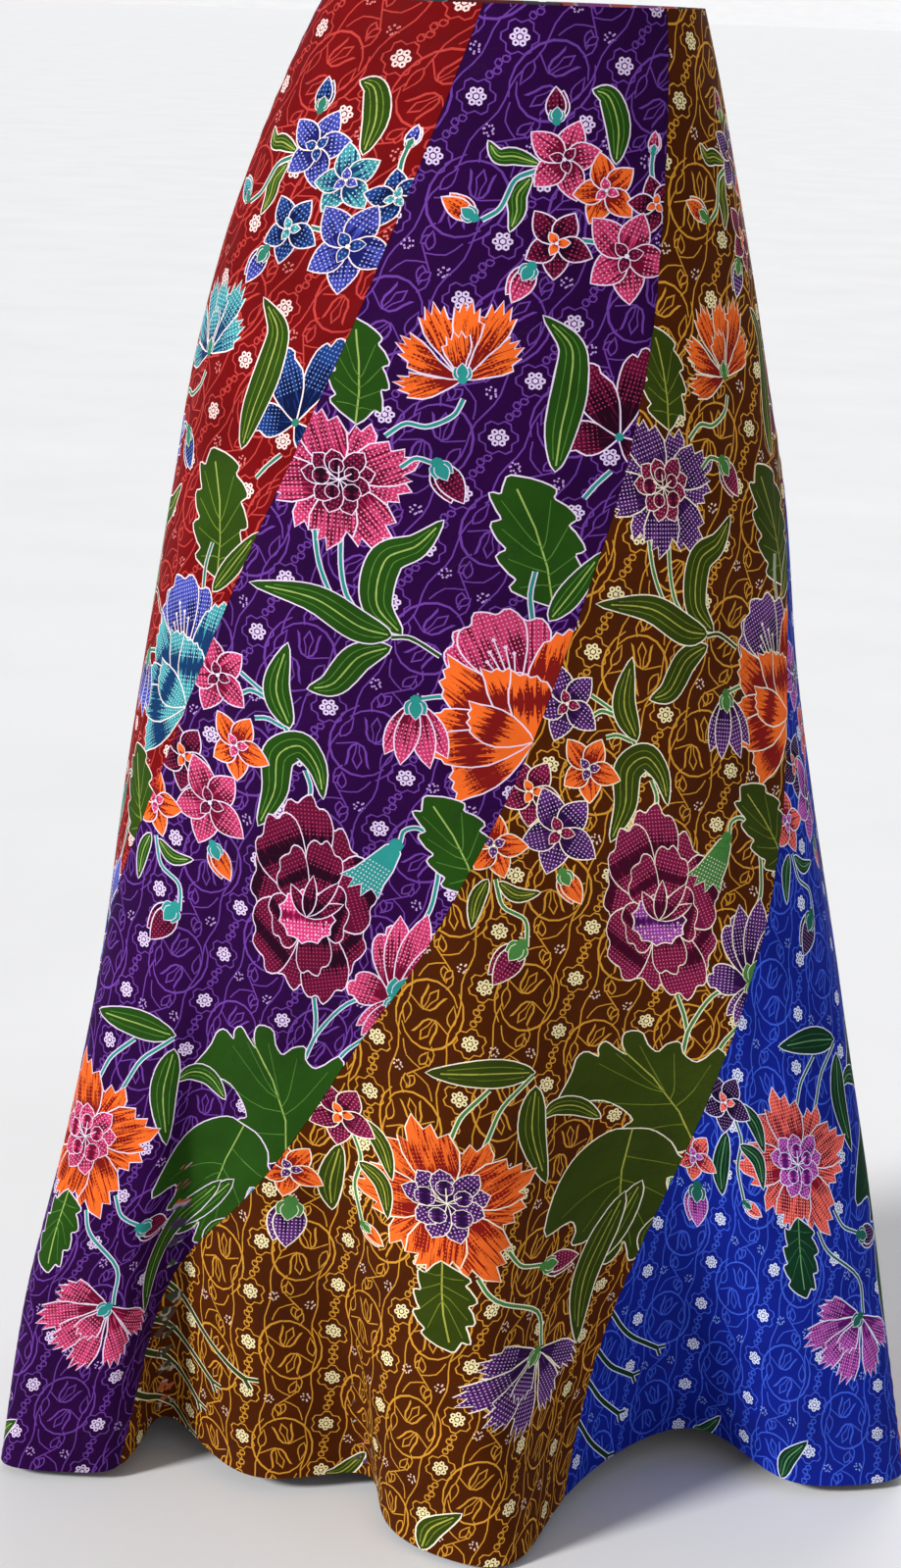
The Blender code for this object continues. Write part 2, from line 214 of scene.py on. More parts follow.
# %% Crease table
Crease = namedtuple("Crease", "turn lean start end depth spread")
CREASES = [
    # turn at its start, degrees it leans on the way down, start, end, depth (+ ridge), spread
    Crease(-74, -6, 0.02, 0.30, -0.0012, 4.5),
    Crease(-58, -9, 0.10, 0.52, 0.0016, 5.0),
    Crease(-46, -4, 0.24, 0.70, -0.0018, 3.6),
    Crease(-33, -8, 0.34, 0.84, 0.0015, 3.2),
    Crease(-24, 3, 0.02, 0.22, -0.0008, 4.2),
    Crease(-12, -5, 0.40, 0.93, -0.0022, 3.0),
    Crease(2, -4, 0.28, 0.72, 0.0015, 4.4),
    Crease(13, 4, 0.44, 0.96, -0.0020, 3.4),
    Crease(22, -3, 0.04, 0.34, -0.0009, 5.0),
    Crease(34, 2, 0.30, 0.80, 0.0018, 4.0),
    Crease(47, 5, 0.42, 0.94, -0.0021, 3.6),
    Crease(59, -4, 0.12, 0.56, -0.0014, 4.6),
    Crease(70, 3, 0.03, 0.28, 0.0011, 5.0),
    Crease(84, -3, 0.26, 0.76, -0.0018, 3.8),
    Crease(97, 4, 0.40, 0.95, 0.0022, 4.2),
    Crease(113, -5, 0.08, 0.44, -0.0012, 4.8),
    Crease(124, 2, 0.36, 0.90, -0.0024, 3.2),
    Crease(139, 4, 0.28, 0.78, 0.0019, 4.4),
    Crease(156, -3, 0.05, 0.40, -0.0013, 5.2),
    Crease(166, 3, 0.38, 0.94, -0.0023, 3.4),
    Crease(184, -4, 0.24, 0.66, 0.0016, 4.6),
    Crease(196, 3, 0.42, 0.97, -0.0019, 3.0),
    Crease(209, -5, 0.10, 0.48, -0.0012, 5.0),
    Crease(221, 4, 0.34, 0.88, 0.0021, 3.8),
    Crease(238, -3, 0.42, 0.95, -0.0022, 3.4),
    Crease(251, 5, 0.14, 0.60, -0.0014, 4.4),
    Crease(268, -4, 0.30, 0.82, 0.0018, 4.0),
    Crease(277, 2, 0.44, 0.94, -0.0020, 3.2),
]


def crease_height(turn, drop):
    height = np.zeros_like(turn)
    for crease in CREASES:
        part = (drop - crease.start) / (crease.end - crease.start)
        strength = np.sin(np.pi * np.clip(part, 0, 1)) ** 1.4
        away = (turn - crease.turn - crease.lean * part + 180) % 360 - 180
        height += crease.depth * strength * np.exp(-((away / crease.spread) ** 2))
    return height


def cloth(turn, drop):
    """The outer face with its creases."""
    out = facing_of(cloth_form, turn, drop, 3.0, 0.015)
    return cloth_form(turn, drop) + out * crease_height(turn, drop)[..., None]


print(len(CREASES), "creases, deepest", min(crease.depth for crease in CREASES), "m")

# %% [markdown]
# ## From a flat gore to the skirt
#
# The print is drawn flat, on one chart of a gore in millimetres: across to the right and down. The
# gore is narrow at the waist and wide at the hem, and its middle line runs to the left as the
# spiral does. Every gore reads the same chart, as a share of the way from its left seam to its
# right seam, so one drawing serves all six, each with its own colours.

# %% The chart of a gore
CHART_LENGTH = LENGTH * 1000
CHART_WIDTH = np.array([
    (0, 109), (100, 138), (200, 165), (300, 186), (400, 203), (500, 219),
    (600, 234), (700, 256), (800, 284), (900, 310), (985, 330),
], float)

chart_rows = np.arange(0.0, CHART_LENGTH + 0.5)
chart_width = np.interp(chart_rows, CHART_WIDTH[:, 0], CHART_WIDTH[:, 1])
spiral_rows = np.interp(chart_rows, SPIRAL[:, 0] * 1000, SPIRAL[:, 1])
# a gore takes 60 degrees of the turn, so a degree is a sixtieth of its width
chart_run = np.concatenate([[0.0], np.cumsum(np.diff(spiral_rows) * chart_width[1:] / 60)])


def across_at(down):
    return np.interp(down, chart_rows, chart_run), np.interp(down, chart_rows, chart_width)


def share_of(points):
    """Chart points as (share of the way across the gore, mm down)."""
    middle, width = across_at(points[:, 1])
    return np.stack([(points[:, 0] - middle) / width + 0.5, points[:, 1]], -1)


print("the middle line runs", round(chart_run[-1]), "mm to the left over the length")

# %% [markdown]
# ## Drawing the print
#
# Batik is drawn in hot wax before each dyeing, so every shape has a clear edge, often a thin pale
# one. The shapes could be painted in an image, but drawn as outlines they stay sharp at any
# distance. Each outline is a list of points in chart millimetres with the names of its colours.
# Later outlines lie over earlier ones, as a maker stacks paper cut-outs.
#
# Petals carry feathered streaks from their base and rows of dots past them. Those are too fine to
# be outlines, so each shape keeps its base and direction, and the material draws them there.

# %% Outlines and how they are kept
Shape = namedtuple("Shape", "outline tone streak spark base along reach")
shapes = []


def thinned(outline, slack=0.20):
    """Leave out points that lie almost on the line between their neighbours."""
    for turn in range(4):
        if len(outline) < 7:
            break
        behind, ahead = np.roll(outline, 1, 0), np.roll(outline, -1, 0)
        span, away = ahead - behind, outline - behind
        off = np.abs(span[:, 0] * away[:, 1] - span[:, 1] * away[:, 0])
        off /= np.maximum(np.hypot(span[:, 0], span[:, 1]), 1e-6)
        outline = outline[(off > slack) | (np.arange(len(outline)) % 2 == turn % 2)]
    return outline


def put(outline, tone, streak=None, spark=None, base=(0, 0), tip=(0, 1), reach=0.0):
    """Lay one outline on the chart."""
    base, tip = np.array(base, float), np.array(tip, float)
    length = max(np.hypot(*(tip - base)), 1e-6)
    outline = thinned(np.asarray(outline, float))
    streak = streak or tone
    shapes.append(Shape(outline, tone, streak, spark or streak, base, (tip - base) / length, reach * length))


def grown(outline, by):
    """An outline moved outwards, for a wax edge beneath a shape."""
    ahead, behind = np.roll(outline, -1, 0), np.roll(outline, 1, 0)
    along = ahead - behind
    along /= np.maximum(np.hypot(along[:, 0], along[:, 1]), 1e-9)[:, None]
    turn_in = np.sum(outline[:, 0] * ahead[:, 1] - ahead[:, 0] * outline[:, 1])
    out = np.stack([along[:, 1], -along[:, 0]], -1) * np.sign(turn_in)
    return outline + out * by


def through(points, count):
    """A smooth path through a few points."""
    points = np.array(points, float)
    if len(points) == 2:
        return points[0] + np.linspace(0, 1, count)[:, None] * (points[1] - points[0])
    full = np.concatenate([[2 * points[0] - points[1]], points, [2 * points[-1] - points[-2]]])
    place = np.linspace(0, len(points) - 1 - 1e-9, count)
    leg = place.astype(int)
    u = (place - leg)[:, None]
    a, b, c, d = full[leg], full[leg + 1], full[leg + 2], full[leg + 3]
    bent = (2 * a - 5 * b + 4 * c - d) * u**2 + (3 * b - a - 3 * c + d) * u**3
    return 0.5 * (2 * b + (c - a) * u + bent)


def side_of(path):
    """Unit vectors to the left of a path."""
    along = np.gradient(path, axis=0)
    along /= np.maximum(np.hypot(along[:, 0], along[:, 1]), 1e-9)[:, None]
    return np.stack([along[:, 1], -along[:, 0]], -1)


def ribbon(path, width):
    """A line of some width as an outline. width is one number or one for each point."""
    half = np.broadcast_to(np.asarray(width, float) / 2, len(path))[:, None]
    side = side_of(path)
    return np.concatenate([path + side * half, (path - side * half)[::-1]])


def turned(x, y, base, degrees):
    """Points beside and along a direction, set at a base."""
    angle = math.radians(degrees)
    return np.stack([
        base[0] + x * math.cos(angle) - y * math.sin(angle),
        base[1] + x * math.sin(angle) + y * math.cos(angle),
    ], -1)


def polar(centre, radius, degrees):
    angle = np.radians(degrees)
    return np.stack([centre[0] + radius * np.cos(angle), centre[1] + radius * np.sin(angle)], -1)


def disc(centre, radius, points=8):
    return polar(centre, radius, np.arange(points) * 360 / points)


def heading(base, tip):
    return math.degrees(math.atan2(tip[1] - base[1], tip[0] - base[0]))


def squeeze(first, centre, degrees, share):
    """Narrow everything drawn since first, across a direction."""
    angle = math.radians(degrees)
    way = np.array([math.cos(angle), math.sin(angle)])
    for k in range(first, len(shapes)):
        shape = shapes[k]
        away = shape.outline - centre
        along = away @ way
        outline = centre + along[:, None] * way + (away - along[:, None] * way) * share
        tip = shape.along * max(shape.reach, 1.0)
        tip = (tip @ way) * way + (tip - (tip @ way) * way) * share
        length = max(np.hypot(*tip), 1e-6)
        reach = length if shape.reach else 0.0
        shapes[k] = shape._replace(outline=outline, along=tip / length, reach=reach)


print("a disc of 8 points:", disc((0, 0), 1).shape)

# %% Petals


def lay_petal(half, base, degrees, length, tone, bend, reach, wax):
    """A petal from its half widths, evenly spaced along it."""
    t = np.linspace(0, 1, len(half))
    half[0] = half[-1] = 0
    x = np.concatenate([t, t[-2:0:-1]]) * length
    y = np.concatenate([-half, half[-2:0:-1]]) + bend * length * (x / length) ** 2
    outline = turned(x, y, base, degrees)
    if wax:
        put(grown(outline, wax), "wax")
    put(outline, tone, tone + "_deep", tone + "_dot", base, polar(base, length, degrees), reach)


def round_petal(base, degrees, length, width, tone, points=9, bend=0.0, reach=0.6, wax=0.8):
    """A petal with a narrow base and a blunt, rounded rim."""
    t = np.linspace(0, 1, points)
    half = width / 2 * np.sin(np.pi * np.minimum(t, 0.999) ** 1.35) ** 0.62
    lay_petal(half, base, degrees, length, tone, bend, reach, wax)


def pointed_petal(base, degrees, length, width, tone, points=9, bend=0.0, reach=0.6, wax=0.8, full=0.85):
    """A petal that ends in a point, like a star's arm."""
    t = np.linspace(0, 1, points)
    half = width / 2 * np.sin(np.pi * t**full) ** 0.9
    lay_petal(half, base, degrees, length, tone, bend, reach, wax)


def closed(form, count):
    """A smooth ring through the points of a form."""
    return through(list(form) + [form[0]], count + 1)[:-1]


# whole outlines of petals, as shares of their length: along, aside
WAVY = closed([
    (0, 0), (0.18, -0.12), (0.42, -0.25), (0.66, -0.29), (0.84, -0.20), (0.93, -0.22), (1.02, -0.11),
    (1.0, 0.02), (0.90, 0.06), (0.92, 0.17), (0.80, 0.28), (0.58, 0.30), (0.34, 0.22), (0.14, 0.10),
], 28)
RUFFLED = closed([
    (0, 0), (0.25, -0.17), (0.52, -0.32), (0.74, -0.37), (0.90, -0.29), (0.92, -0.16), (1.04, -0.09),
    (1.0, 0.05), (0.95, 0.13), (0.98, 0.26), (0.80, 0.36), (0.55, 0.31), (0.27, 0.17),
], 30)
FRINGED = np.array([
    (0, 0), (0.20, -0.07), (0.42, -0.15), (0.58, -0.24), (0.74, -0.29), (0.97, -0.28), (0.90, -0.19),
    (1.06, -0.12), (0.93, -0.05), (1.08, 0.05), (0.90, 0.10), (0.98, 0.20), (0.80, 0.20), (0.78, 0.31),
    (0.60, 0.26), (0.40, 0.16), (0.18, 0.08),
])
SPIKED = np.array([
    (0, 0), (0.22, -0.13), (0.46, -0.26), (0.66, -0.31), (0.88, -0.30), (0.80, -0.20), (0.98, -0.16),
    (1.14, -0.02), (0.94, 0.03), (1.0, 0.14), (0.82, 0.15), (0.86, 0.29), (0.62, 0.32), (0.40, 0.25),
    (0.18, 0.12),
])
HOOKED = np.array([
    (0, 0), (0.10, -0.09), (0.25, -0.18), (0.42, -0.26), (0.60, -0.30), (0.76, -0.30), (0.90, -0.27),
    (1.07, -0.26), (0.98, -0.16), (1.0, -0.08), (0.94, -0.02), (0.96, 0.06), (0.88, 0.11), (0.86, 0.18),
    (0.76, 0.23), (0.62, 0.27), (0.45, 0.27), (0.28, 0.20), (0.12, 0.10),
])
CUP = np.array([
    (0, -0.04), (0.10, -0.12), (0.45, -0.20), (0.75, -0.24), (1.0, -0.34), (0.90, -0.15), (1.12, -0.13),
    (0.92, 0.0), (1.10, 0.10), (0.90, 0.14), (0.98, 0.32), (0.72, 0.24), (0.42, 0.19), (0.10, 0.12),
    (0, 0.04),
])


def shaped_petal(base, degrees, length, width, tone, form, reach=0.6, wax=0.9, middle=0.0, flip=1,
                 bend=0.0):
    """A petal from a whole outline. Its streaks start at its base or part way up."""
    x, y = form[:, 0] * length, form[:, 1] * width / 0.6 * flip
    outline = turned(x, y + bend * length * form[:, 0] ** 2, base, degrees)
    put(grown(outline, wax), "wax")
    start, tip = polar(base, length * middle, degrees), polar(base, length, degrees)
    put(outline, tone, tone + "_deep", tone + "_dot", start, tip, reach)


def scallop(centre, radius, tone):
    """A small round lobe with a wax edge."""
    put(disc(centre, radius + 0.5, 9), "wax")
    tip = polar(centre, radius, 0)
    put(disc(centre, radius, 9), tone, tone + "_deep", tone + "_dot", centre, tip, 0.55)


def flower(centre, edge, tone, heart):
    """Five pointed petals round a small three-petalled heart."""
    radius = math.dist(centre, edge) * 0.92
    start = heading(centre, edge)
    # turn past an even spread, size, bend
    arms = ((4, 1.0, 0.05), (-5, 0.90, -0.06), (3, 1.06, 0.04), (-2, 0.94, -0.03), (5, 1.02, 0.06))
    for i, (turn, size, bend) in enumerate(arms):
        pointed_petal(centre, start + 72 * i + turn, radius * size, radius * 0.66, tone,
                      bend=bend, reach=0.62)
    for i in range(3):
        pointed_petal(centre, start + 30 + 120 * i, radius * 0.36, radius * 0.24, heart, points=6,
                      reach=0.3, wax=0.5)
    put(disc(centre, radius * 0.06, 5), "wax")


def calyx(base, tip, width, length):
    """The green cup with three points that holds a bud."""
    angle = heading(base, tip)
    for turn, share in ((-30, 0.85), (30, 0.85), (0, 1.0)):
        pointed_petal(base, angle + turn, length * share, width * 0.40, "stem", points=6, reach=0,
                      wax=0.5)
    put(disc(base, width * 0.18, 7), "stem")


def bud(base, tip, tone, width):
    length = math.dist(base, tip)
    angle = heading(base, tip)
    pointed_petal(base, angle + 9, length * 0.90, width * 0.70, tone, reach=0.7)
    pointed_petal(base, angle - 7, length, width * 0.72, tone, reach=0.55, bend=0.05)
    calyx(base, tip, width, length * 0.42)


print("petals ready")

# %% Big blooms


Lobe = namedtuple("Lobe", "turn size wide flip")


def fan(base, tip, tone, form, lobes, bend_by=0.0, **looks):
    """Petals of one form that open from a base. bend_by curves each of them by its turn."""
    length = math.dist(base, tip)
    angle = heading(base, tip)
    for lobe in lobes:
        shaped_petal(base, angle + lobe.turn, length * lobe.size, length * lobe.wide, tone, form,
                     flip=lobe.flip, bend=-lobe.turn * bend_by, **looks)


CARNATION = [
    Lobe(-112, 0.74, 0.36, 1), Lobe(-68, 0.86, 0.38, -1), Lobe(66, 0.78, 0.38, 1), Lobe(-26, 1.0, 0.40, 1),
    Lobe(30, 1.06, 0.42, -1), Lobe(4, 0.98, 0.36, 1), Lobe(-10, 0.60, 0.34, -1),
]
TULIP = [
    Lobe(104, 1.10, 0.36, 1), Lobe(84, 1.24, 0.46, -1), Lobe(22, 1.16, 0.50, -1), Lobe(52, 0.88, 0.44, 1),
    Lobe(-2, 1.06, 0.42, 1), Lobe(-46, 0.92, 0.50, 1), Lobe(-24, 1.0, 0.42, -1), Lobe(70, 0.74, 0.44, 1),
    Lobe(6, 0.70, 0.40, -1),
]
FRILL = [Lobe(-16, 0.92, 0.56, 1), Lobe(18, 0.90, 0.56, 1), Lobe(0, 1.0, 0.56, 1)]
IRIS = [
    Lobe(152, 0.62, 0.34, 1), Lobe(-82, 0.66, 0.46, 1), Lobe(30, 1.20, 0.42, -1), Lobe(-14, 1.04, 0.50, -1),
]


def carnation(base, tip, tone):
    """Fringed petals that open from a calyx."""
    fan(base, tip, tone, FRINGED, CARNATION, reach=0.72, bend_by=1 / 420)
    length = math.dist(base, tip)
    calyx(base, tip, length * 0.34, length * 0.22)


def peony(centre, edge, tone, heart):
    """Spiky petals of uneven length round a heart of small lobes."""
    radius = math.dist(centre, edge)
    start = heading(centre, edge)
    sizes = (1.0, 0.84, 1.06, 0.92, 0.84, 1.06, 0.88, 1.02, 0.82)
    for i in (1, 4, 6, 8, 0, 2, 3, 5, 7):
        shaped_petal(centre, start + 40 * i, radius * sizes[i], radius * 0.62, tone, SPIKED, reach=0.76,
                     flip=1 if i % 2 else -1, bend=(0.10, -0.08, 0.05)[i % 3])
    for i in range(9):
        turn, size = ((12, 0.50), (4, 0.44), (17, 0.53))[i % 3]
        round_petal(centre, start + 40 * i + turn, radius * size, radius * 0.27, heart, points=7,
                    reach=0.7, wax=0.7)
    for i in range(5):
        away, size = ((0.20, 0.10), (0.25, 0.12))[i % 2]
        scallop(polar(centre, radius * away, start + 72 * i), radius * size, heart)
    for turn in (-150, -90, -30):
        put(ribbon(np.array([centre, polar(centre, radius * 0.2, turn)]), 0.7), "wax")


def dark_peony(centre, edge, tone):
    """A tall ruffled bloom, seen from the side, with a bright scalloped heart."""
    radius = math.dist(centre, edge)
    start = heading(centre, edge)
    first = len(shapes)
    sizes = (1.02, 0.88, 0.98, 0.92, 1.0, 0.88, 1.02, 0.92, 0.98)
    for i in (1, 3, 5, 7, 0, 2, 4, 6, 8):
        shaped_petal(centre, start + 40 * i, radius * sizes[i], radius * 0.62, tone, RUFFLED, reach=0.30,
                     wax=1.0, middle=0.58, flip=1 if i % 2 else -1)
    for i in range(5):
        shaped_petal(centre, start + 30 + 72 * i, radius * (0.66, 0.58, 0.70)[i % 3], radius * 0.46, tone,
                     RUFFLED, reach=0.28, wax=0.9, middle=0.5)
    squeeze(first, np.array(centre), start, 0.60)
    low = polar(centre, radius * 0.14, start + 195)
    step = np.arange(33) * 360 / 33
    rim = polar(low, radius * (0.25 + 0.02 * np.cos(np.radians(step * 11))), step)
    put(grown(rim, 0.9), "wax")
    put(rim, "heart", "heart_deep", "heart_dot", low, polar(low, radius * 0.23, start), 0.3)
    for turn, size in ((66, 0.38), (-24, 0.34), (40, 0.48), (10, 0.42)):
        pointed_petal(low, start + turn, radius * size, radius * 0.12, tone, points=7, reach=0.7, wax=0.7)
    for k in range(7):
        put(disc(polar(low, radius * 0.19, start + 100 + 26 * k), 0.7, 5), "wax")


def tulip(base, tip, tone):
    """Broad wavy petals, wide open, with feathered patches in their middles."""
    fan(base, tip, tone, HOOKED, TULIP, reach=0.50, middle=0.60)


def frill(base, tip, tone):
    """Three ruffled back petals with pale stamens over them."""
    fan(base, tip, tone, RUFFLED, FRILL, reach=0.66)
    for turn in (-16, -8, 0, 8, 16):
        size = math.dist(base, tip) * (0.60 + 0.1 * math.cos(turn))
        end = polar(base, size, heading(base, tip) + turn)
        put(ribbon(np.array([base, end]), 0.8), "wax")
        put(disc(end, 1.2, 6), "wax")


def bell(base, tip, tone, width):
    """A bell flower with pointed lips."""
    length = math.dist(base, tip)
    angle = heading(base, tip)
    for turn, size in ((-26, 0.96), (26, 0.92), (-10, 1.04), (12, 1.0)):
        pointed_petal(base, angle + turn, length * size, width * 0.50, tone, full=1.1)
    calyx(base, tip, width * 0.7, length * 0.30)


def iris(base, tip, tone):
    """Standing petals above and a hanging one below."""
    fan(base, tip, tone, WAVY, IRIS, reach=0.66, bend_by=1 / 900)
    put(disc(base, math.dist(base, tip) * 0.06, 7), "stem")


def pod(base, tip):
    """A closed green cup on its stem, with a toothed mouth."""
    length = math.dist(base, tip)
    angle = heading(base, tip)
    x, y = CUP[:, 0] * length, CUP[:, 1] * length * 1.15
    outline = turned(x, y + 0.12 * length * CUP[:, 0] ** 2, base, angle)
    put(grown(outline, 0.8), "wax")
    put(outline, "stem", "stem", "wax", base, tip, 0.7)
    put(disc(base, length * 0.13, 7), "stem")


print("blooms ready")

# %% Leaves and stems


STEM_WIDTH = 1.9
STEM_WAX = 1.4      # added to the width of a stem or twig for its wax edge


def stem(path, tone):
    line = through(path, 4 * len(path))
    put(ribbon(line, STEM_WIDTH + STEM_WAX), "wax")
    put(ribbon(line, STEM_WIDTH), tone)


def twig(path):
    """A bare branch with a forked tip."""
    angle = heading(path[-2], path[-1])
    prongs = [np.array([path[-1], polar(path[-1], 8, angle + turn)]) for turn in (-38, 34)]
    lines = [(through(path, 4 * len(path)), 3.6)] + [(prong, 2.4) for prong in prongs]
    for extra, tone in ((STEM_WAX, "wax"), (0.0, "leaf")):
        for line, width in lines:
            put(ribbon(line, width + extra), tone)


def leaf(path, width):
    """A long leaf that follows a path, with a pale rib."""
    line = through(path, 6 * len(path))
    t = np.linspace(0, 1, len(line))
    half = width / 2 * np.sin(np.pi * t**0.85) ** 0.75
    half[[0, -1]] = 0.02
    side = side_of(line)
    left, right = line + side * half[:, None], line - side * half[:, None]
    outline = np.concatenate([left, right[-2:0:-1]])
    put(grown(outline, 0.8), "wax")
    put(outline, "leaf")
    put(ribbon(line[1:-2], 0.9), "rib")
    for hand in (1, -1):
        put(ribbon((line + hand * side * half[:, None] * 0.48)[2:-3], 0.6), "vein")


# whole outlines of two broad leaves, as shares of length and width: along, aside
TOOTHED = closed([
    (0, 0.02), (0.06, 0.14), (0.16, 0.27), (0.14, 0.38), (0.26, 0.38), (0.36, 0.35), (0.38, 0.47),
    (0.50, 0.43), (0.58, 0.37), (0.62, 0.48), (0.72, 0.41), (0.79, 0.31), (0.85, 0.37), (0.93, 0.23),
    (0.97, 0.10), (1.0, -0.06), (0.93, -0.16), (0.88, -0.22), (0.90, -0.33), (0.79, -0.33), (0.70, -0.31),
    (0.68, -0.44), (0.56, -0.42), (0.48, -0.36), (0.44, -0.49), (0.32, -0.42), (0.25, -0.34),
    (0.19, -0.43), (0.10, -0.26), (0.04, -0.10),
], 75)
TOOTH_TIPS = [
    (0.16, 0.34), (0.38, 0.42), (0.62, 0.43), (0.84, 0.32), (0.20, -0.38), (0.44, -0.44), (0.68, -0.40),
    (0.90, -0.28),
]
FAN = closed([
    (0, 0), (0.01, 0.12), (0.10, 0.24), (0.24, 0.36), (0.42, 0.45), (0.66, 0.50), (0.63, 0.38),
    (0.62, 0.30), (0.70, 0.27), (0.78, 0.30), (0.79, 0.22), (0.76, 0.14), (0.84, 0.12), (0.94, 0.14),
    (0.98, 0.06), (0.92, 0.0), (0.83, -0.03), (0.90, -0.06), (0.98, -0.08), (0.96, -0.14), (0.90, -0.18),
    (0.97, -0.22), (0.95, -0.30), (0.86, -0.40), (0.72, -0.62), (0.66, -0.46), (0.60, -0.34),
    (0.48, -0.27), (0.36, -0.25), (0.34, -0.32), (0.26, -0.40), (0.19, -0.30), (0.09, -0.24), (0.01, -0.12),
], 85)
FAN_TIPS = [
    (0.62, 0.44), (0.77, 0.26), (0.92, 0.09), (0.94, -0.09), (0.92, -0.24), (0.69, -0.50), (0.28, -0.34),
]


def broad_leaf(base, tip, width, form, tips):
    """A broad leaf from a whole outline, with a rib to each of its points."""
    length = math.dist(base, tip)
    angle = heading(base, tip)

    def placed(points):
        points = np.asarray(points, float)
        x, y = points[:, 0] * length, points[:, 1] * width - 0.10 * length * points[:, 0] ** 2
        return turned(x, y, base, angle)

    outline = placed(form)
    put(grown(outline, 0.9), "wax")
    put(outline, "leaf")
    put(ribbon(placed([(0, 0), (0.3, 0.02), (0.6, 0.01), (0.9, -0.03)]), 1.0), "rib")
    for along, aside in tips:
        start = 0.42 * along + 0.08
        line = placed([(start, 0.01), (start + 0.10 * along, aside * 0.30), (along * 0.93, aside * 0.86)])
        put(ribbon(through(line, 6), np.linspace(0.8, 0.4, 6)), "vein")


print("leaves ready")

# %% [markdown]
# ## The ground behind the flowers
#
# Behind the flowers runs a fine repeat in thin lines: chains of small six-lobed flowers in
# scalloped rings, held between wavy lines, and between the chains round scrolls that hold a pair of
# tulips. The chains follow the weave of the cloth, and because a spiral gore is cut on a curve,
# they lean much at the waist and little at the hem. A frame that bends with the weave carries every
# small shape of the repeat to its place.

# %% The frame that follows the weave
# mm along, lean in degrees
GRAIN = np.array([(-150, 37), (0, 34), (490, 24), (985, 9), (1250, 4)], float)
GRAIN_START = 46.0     # mm to the right of the gore's middle, at the waist
COLUMN = 57.0          # mm from chain to chain
BLOOM = 39.0           # mm from flower to flower in a chain

grain_steps = np.arange(GRAIN[0, 0], GRAIN[-1, 0] + 0.5)
grain_lean = np.radians(np.interp(grain_steps, GRAIN[:, 0], GRAIN[:, 1]))
grain_x = np.cumsum(-np.sin(grain_lean))
grain_y = np.cumsum(np.cos(grain_lean))
grain_x += GRAIN_START - np.interp(0, grain_steps, grain_x)
grain_y -= np.interp(0, grain_steps, grain_y)


def on_grain(points):
    """Points given as mm beside and along the weave, moved to the chart."""
    points = np.asarray(points, float)
    lean = np.interp(points[:, 1], grain_steps, grain_lean)
    x = np.interp(points[:, 1], grain_steps, grain_x) + points[:, 0] * np.cos(lean)
    y = np.interp(points[:, 1], grain_steps, grain_y) + points[:, 0] * np.sin(lean)
    return np.stack([x, y], -1)


def put_ground(outline, tone):
    put(on_grain(outline), tone)


print("the weave runs", round(grain_x[-1] - grain_x[0]), "mm to the left")

# %% One chain flower, its curls and a tulip


LOBES = 6


def lobed_ring(p, q, radius, deep):
    step = np.arange(3 * LOBES) * 120 / LOBES
    swell = np.abs(np.sin(np.radians(step * LOBES / 2))) ** 0.7
    return polar((p, q), radius + deep * swell, step)


def chain_flower(p, q):
    """A pale flower of six pierced petals in a dark ring with a scalloped line round it."""
    put_ground(lobed_ring(p, q, 8.4, 2.6), "line")
    put_ground(lobed_ring(p, q, 7.5, 2.5), "ground")
    for away, radius, points, tone in ((3.7, 2.0, 6, "cream"), (3.8, 0.9, 4, "ground")):
        for k in range(LOBES):
            put_ground(disc(polar((p, q), away, 60.0 * k + 30), radius, points), tone)
    put_ground(disc((p, q), 1.5, 6), "cream")


def curl(p, q, hand):
    """A small G: a line that rolls in on itself."""
    turn = np.linspace(-80, 300, 8)
    radius = 2.494 - 0.946 * (turn + 80) / 380
    path = np.stack([p + hand * radius * np.cos(np.radians(turn)), q + radius * np.sin(np.radians(turn))], -1)
    put_ground(ribbon(path, 0.9), "line")


def drop_shape(p, q, degrees, length, width, bend=0.0):
    """A teardrop drawn as a line round the ground's colour."""
    t = np.linspace(0, 1, 6)
    for shrink, tone in ((0.0, "line"), (0.8, "ground")):
        half = np.maximum(width / 2 * np.sin(np.pi * t**0.75) - shrink, 0.0)
        x = length * t + shrink * (1 - 2 * t) * 1.4
        sag = bend * length * t * t
        along = np.concatenate([x, x[-2:0:-1]])
        aside = np.concatenate([sag + half, (sag - half)[-2:0:-1]])
        put_ground(turned(along, aside, (p, q), degrees), tone)


# a cup of three pointed petals and a stroke inside it, as shares of its length: along, aside
TULIP_CUP = np.array([
    (0, 0), (0.10, -0.22), (0.34, -0.34), (0.62, -0.36), (1.0, -0.44), (0.74, -0.18), (1.08, 0.0),
    (0.74, 0.18), (1.0, 0.44), (0.62, 0.36), (0.34, 0.34), (0.10, 0.22),
])
TULIP_STROKE = np.array([(0.10, 0.05), (0.40, 0.07), (0.72, 0.17)])


def ground_tulip(p, q, degrees, size):
    """A tulip in outline, with two short strokes."""
    cup = TULIP_CUP * size
    inner = cup * (0.84, 0.76) + (size * 0.07, 0)
    for outline, tone in ((cup, "line"), (inner, "ground")):
        put_ground(turned(outline[:, 0], outline[:, 1], (p, q), degrees), tone)
    for hand in (1, -1):
        side = TULIP_STROKE * (size, size * hand)
        put_ground(ribbon(turned(side[:, 0], side[:, 1], (p, q), degrees), 0.7), "line")


def ring_of_dots(p, q, radius, dots):
    for k in range(dots):
        put_ground(disc(polar((p, q), radius, 360.0 * k / dots), 0.75, 4), "speck")


print("small parts ready")

# %% One scroll, and the branch between two scrolls


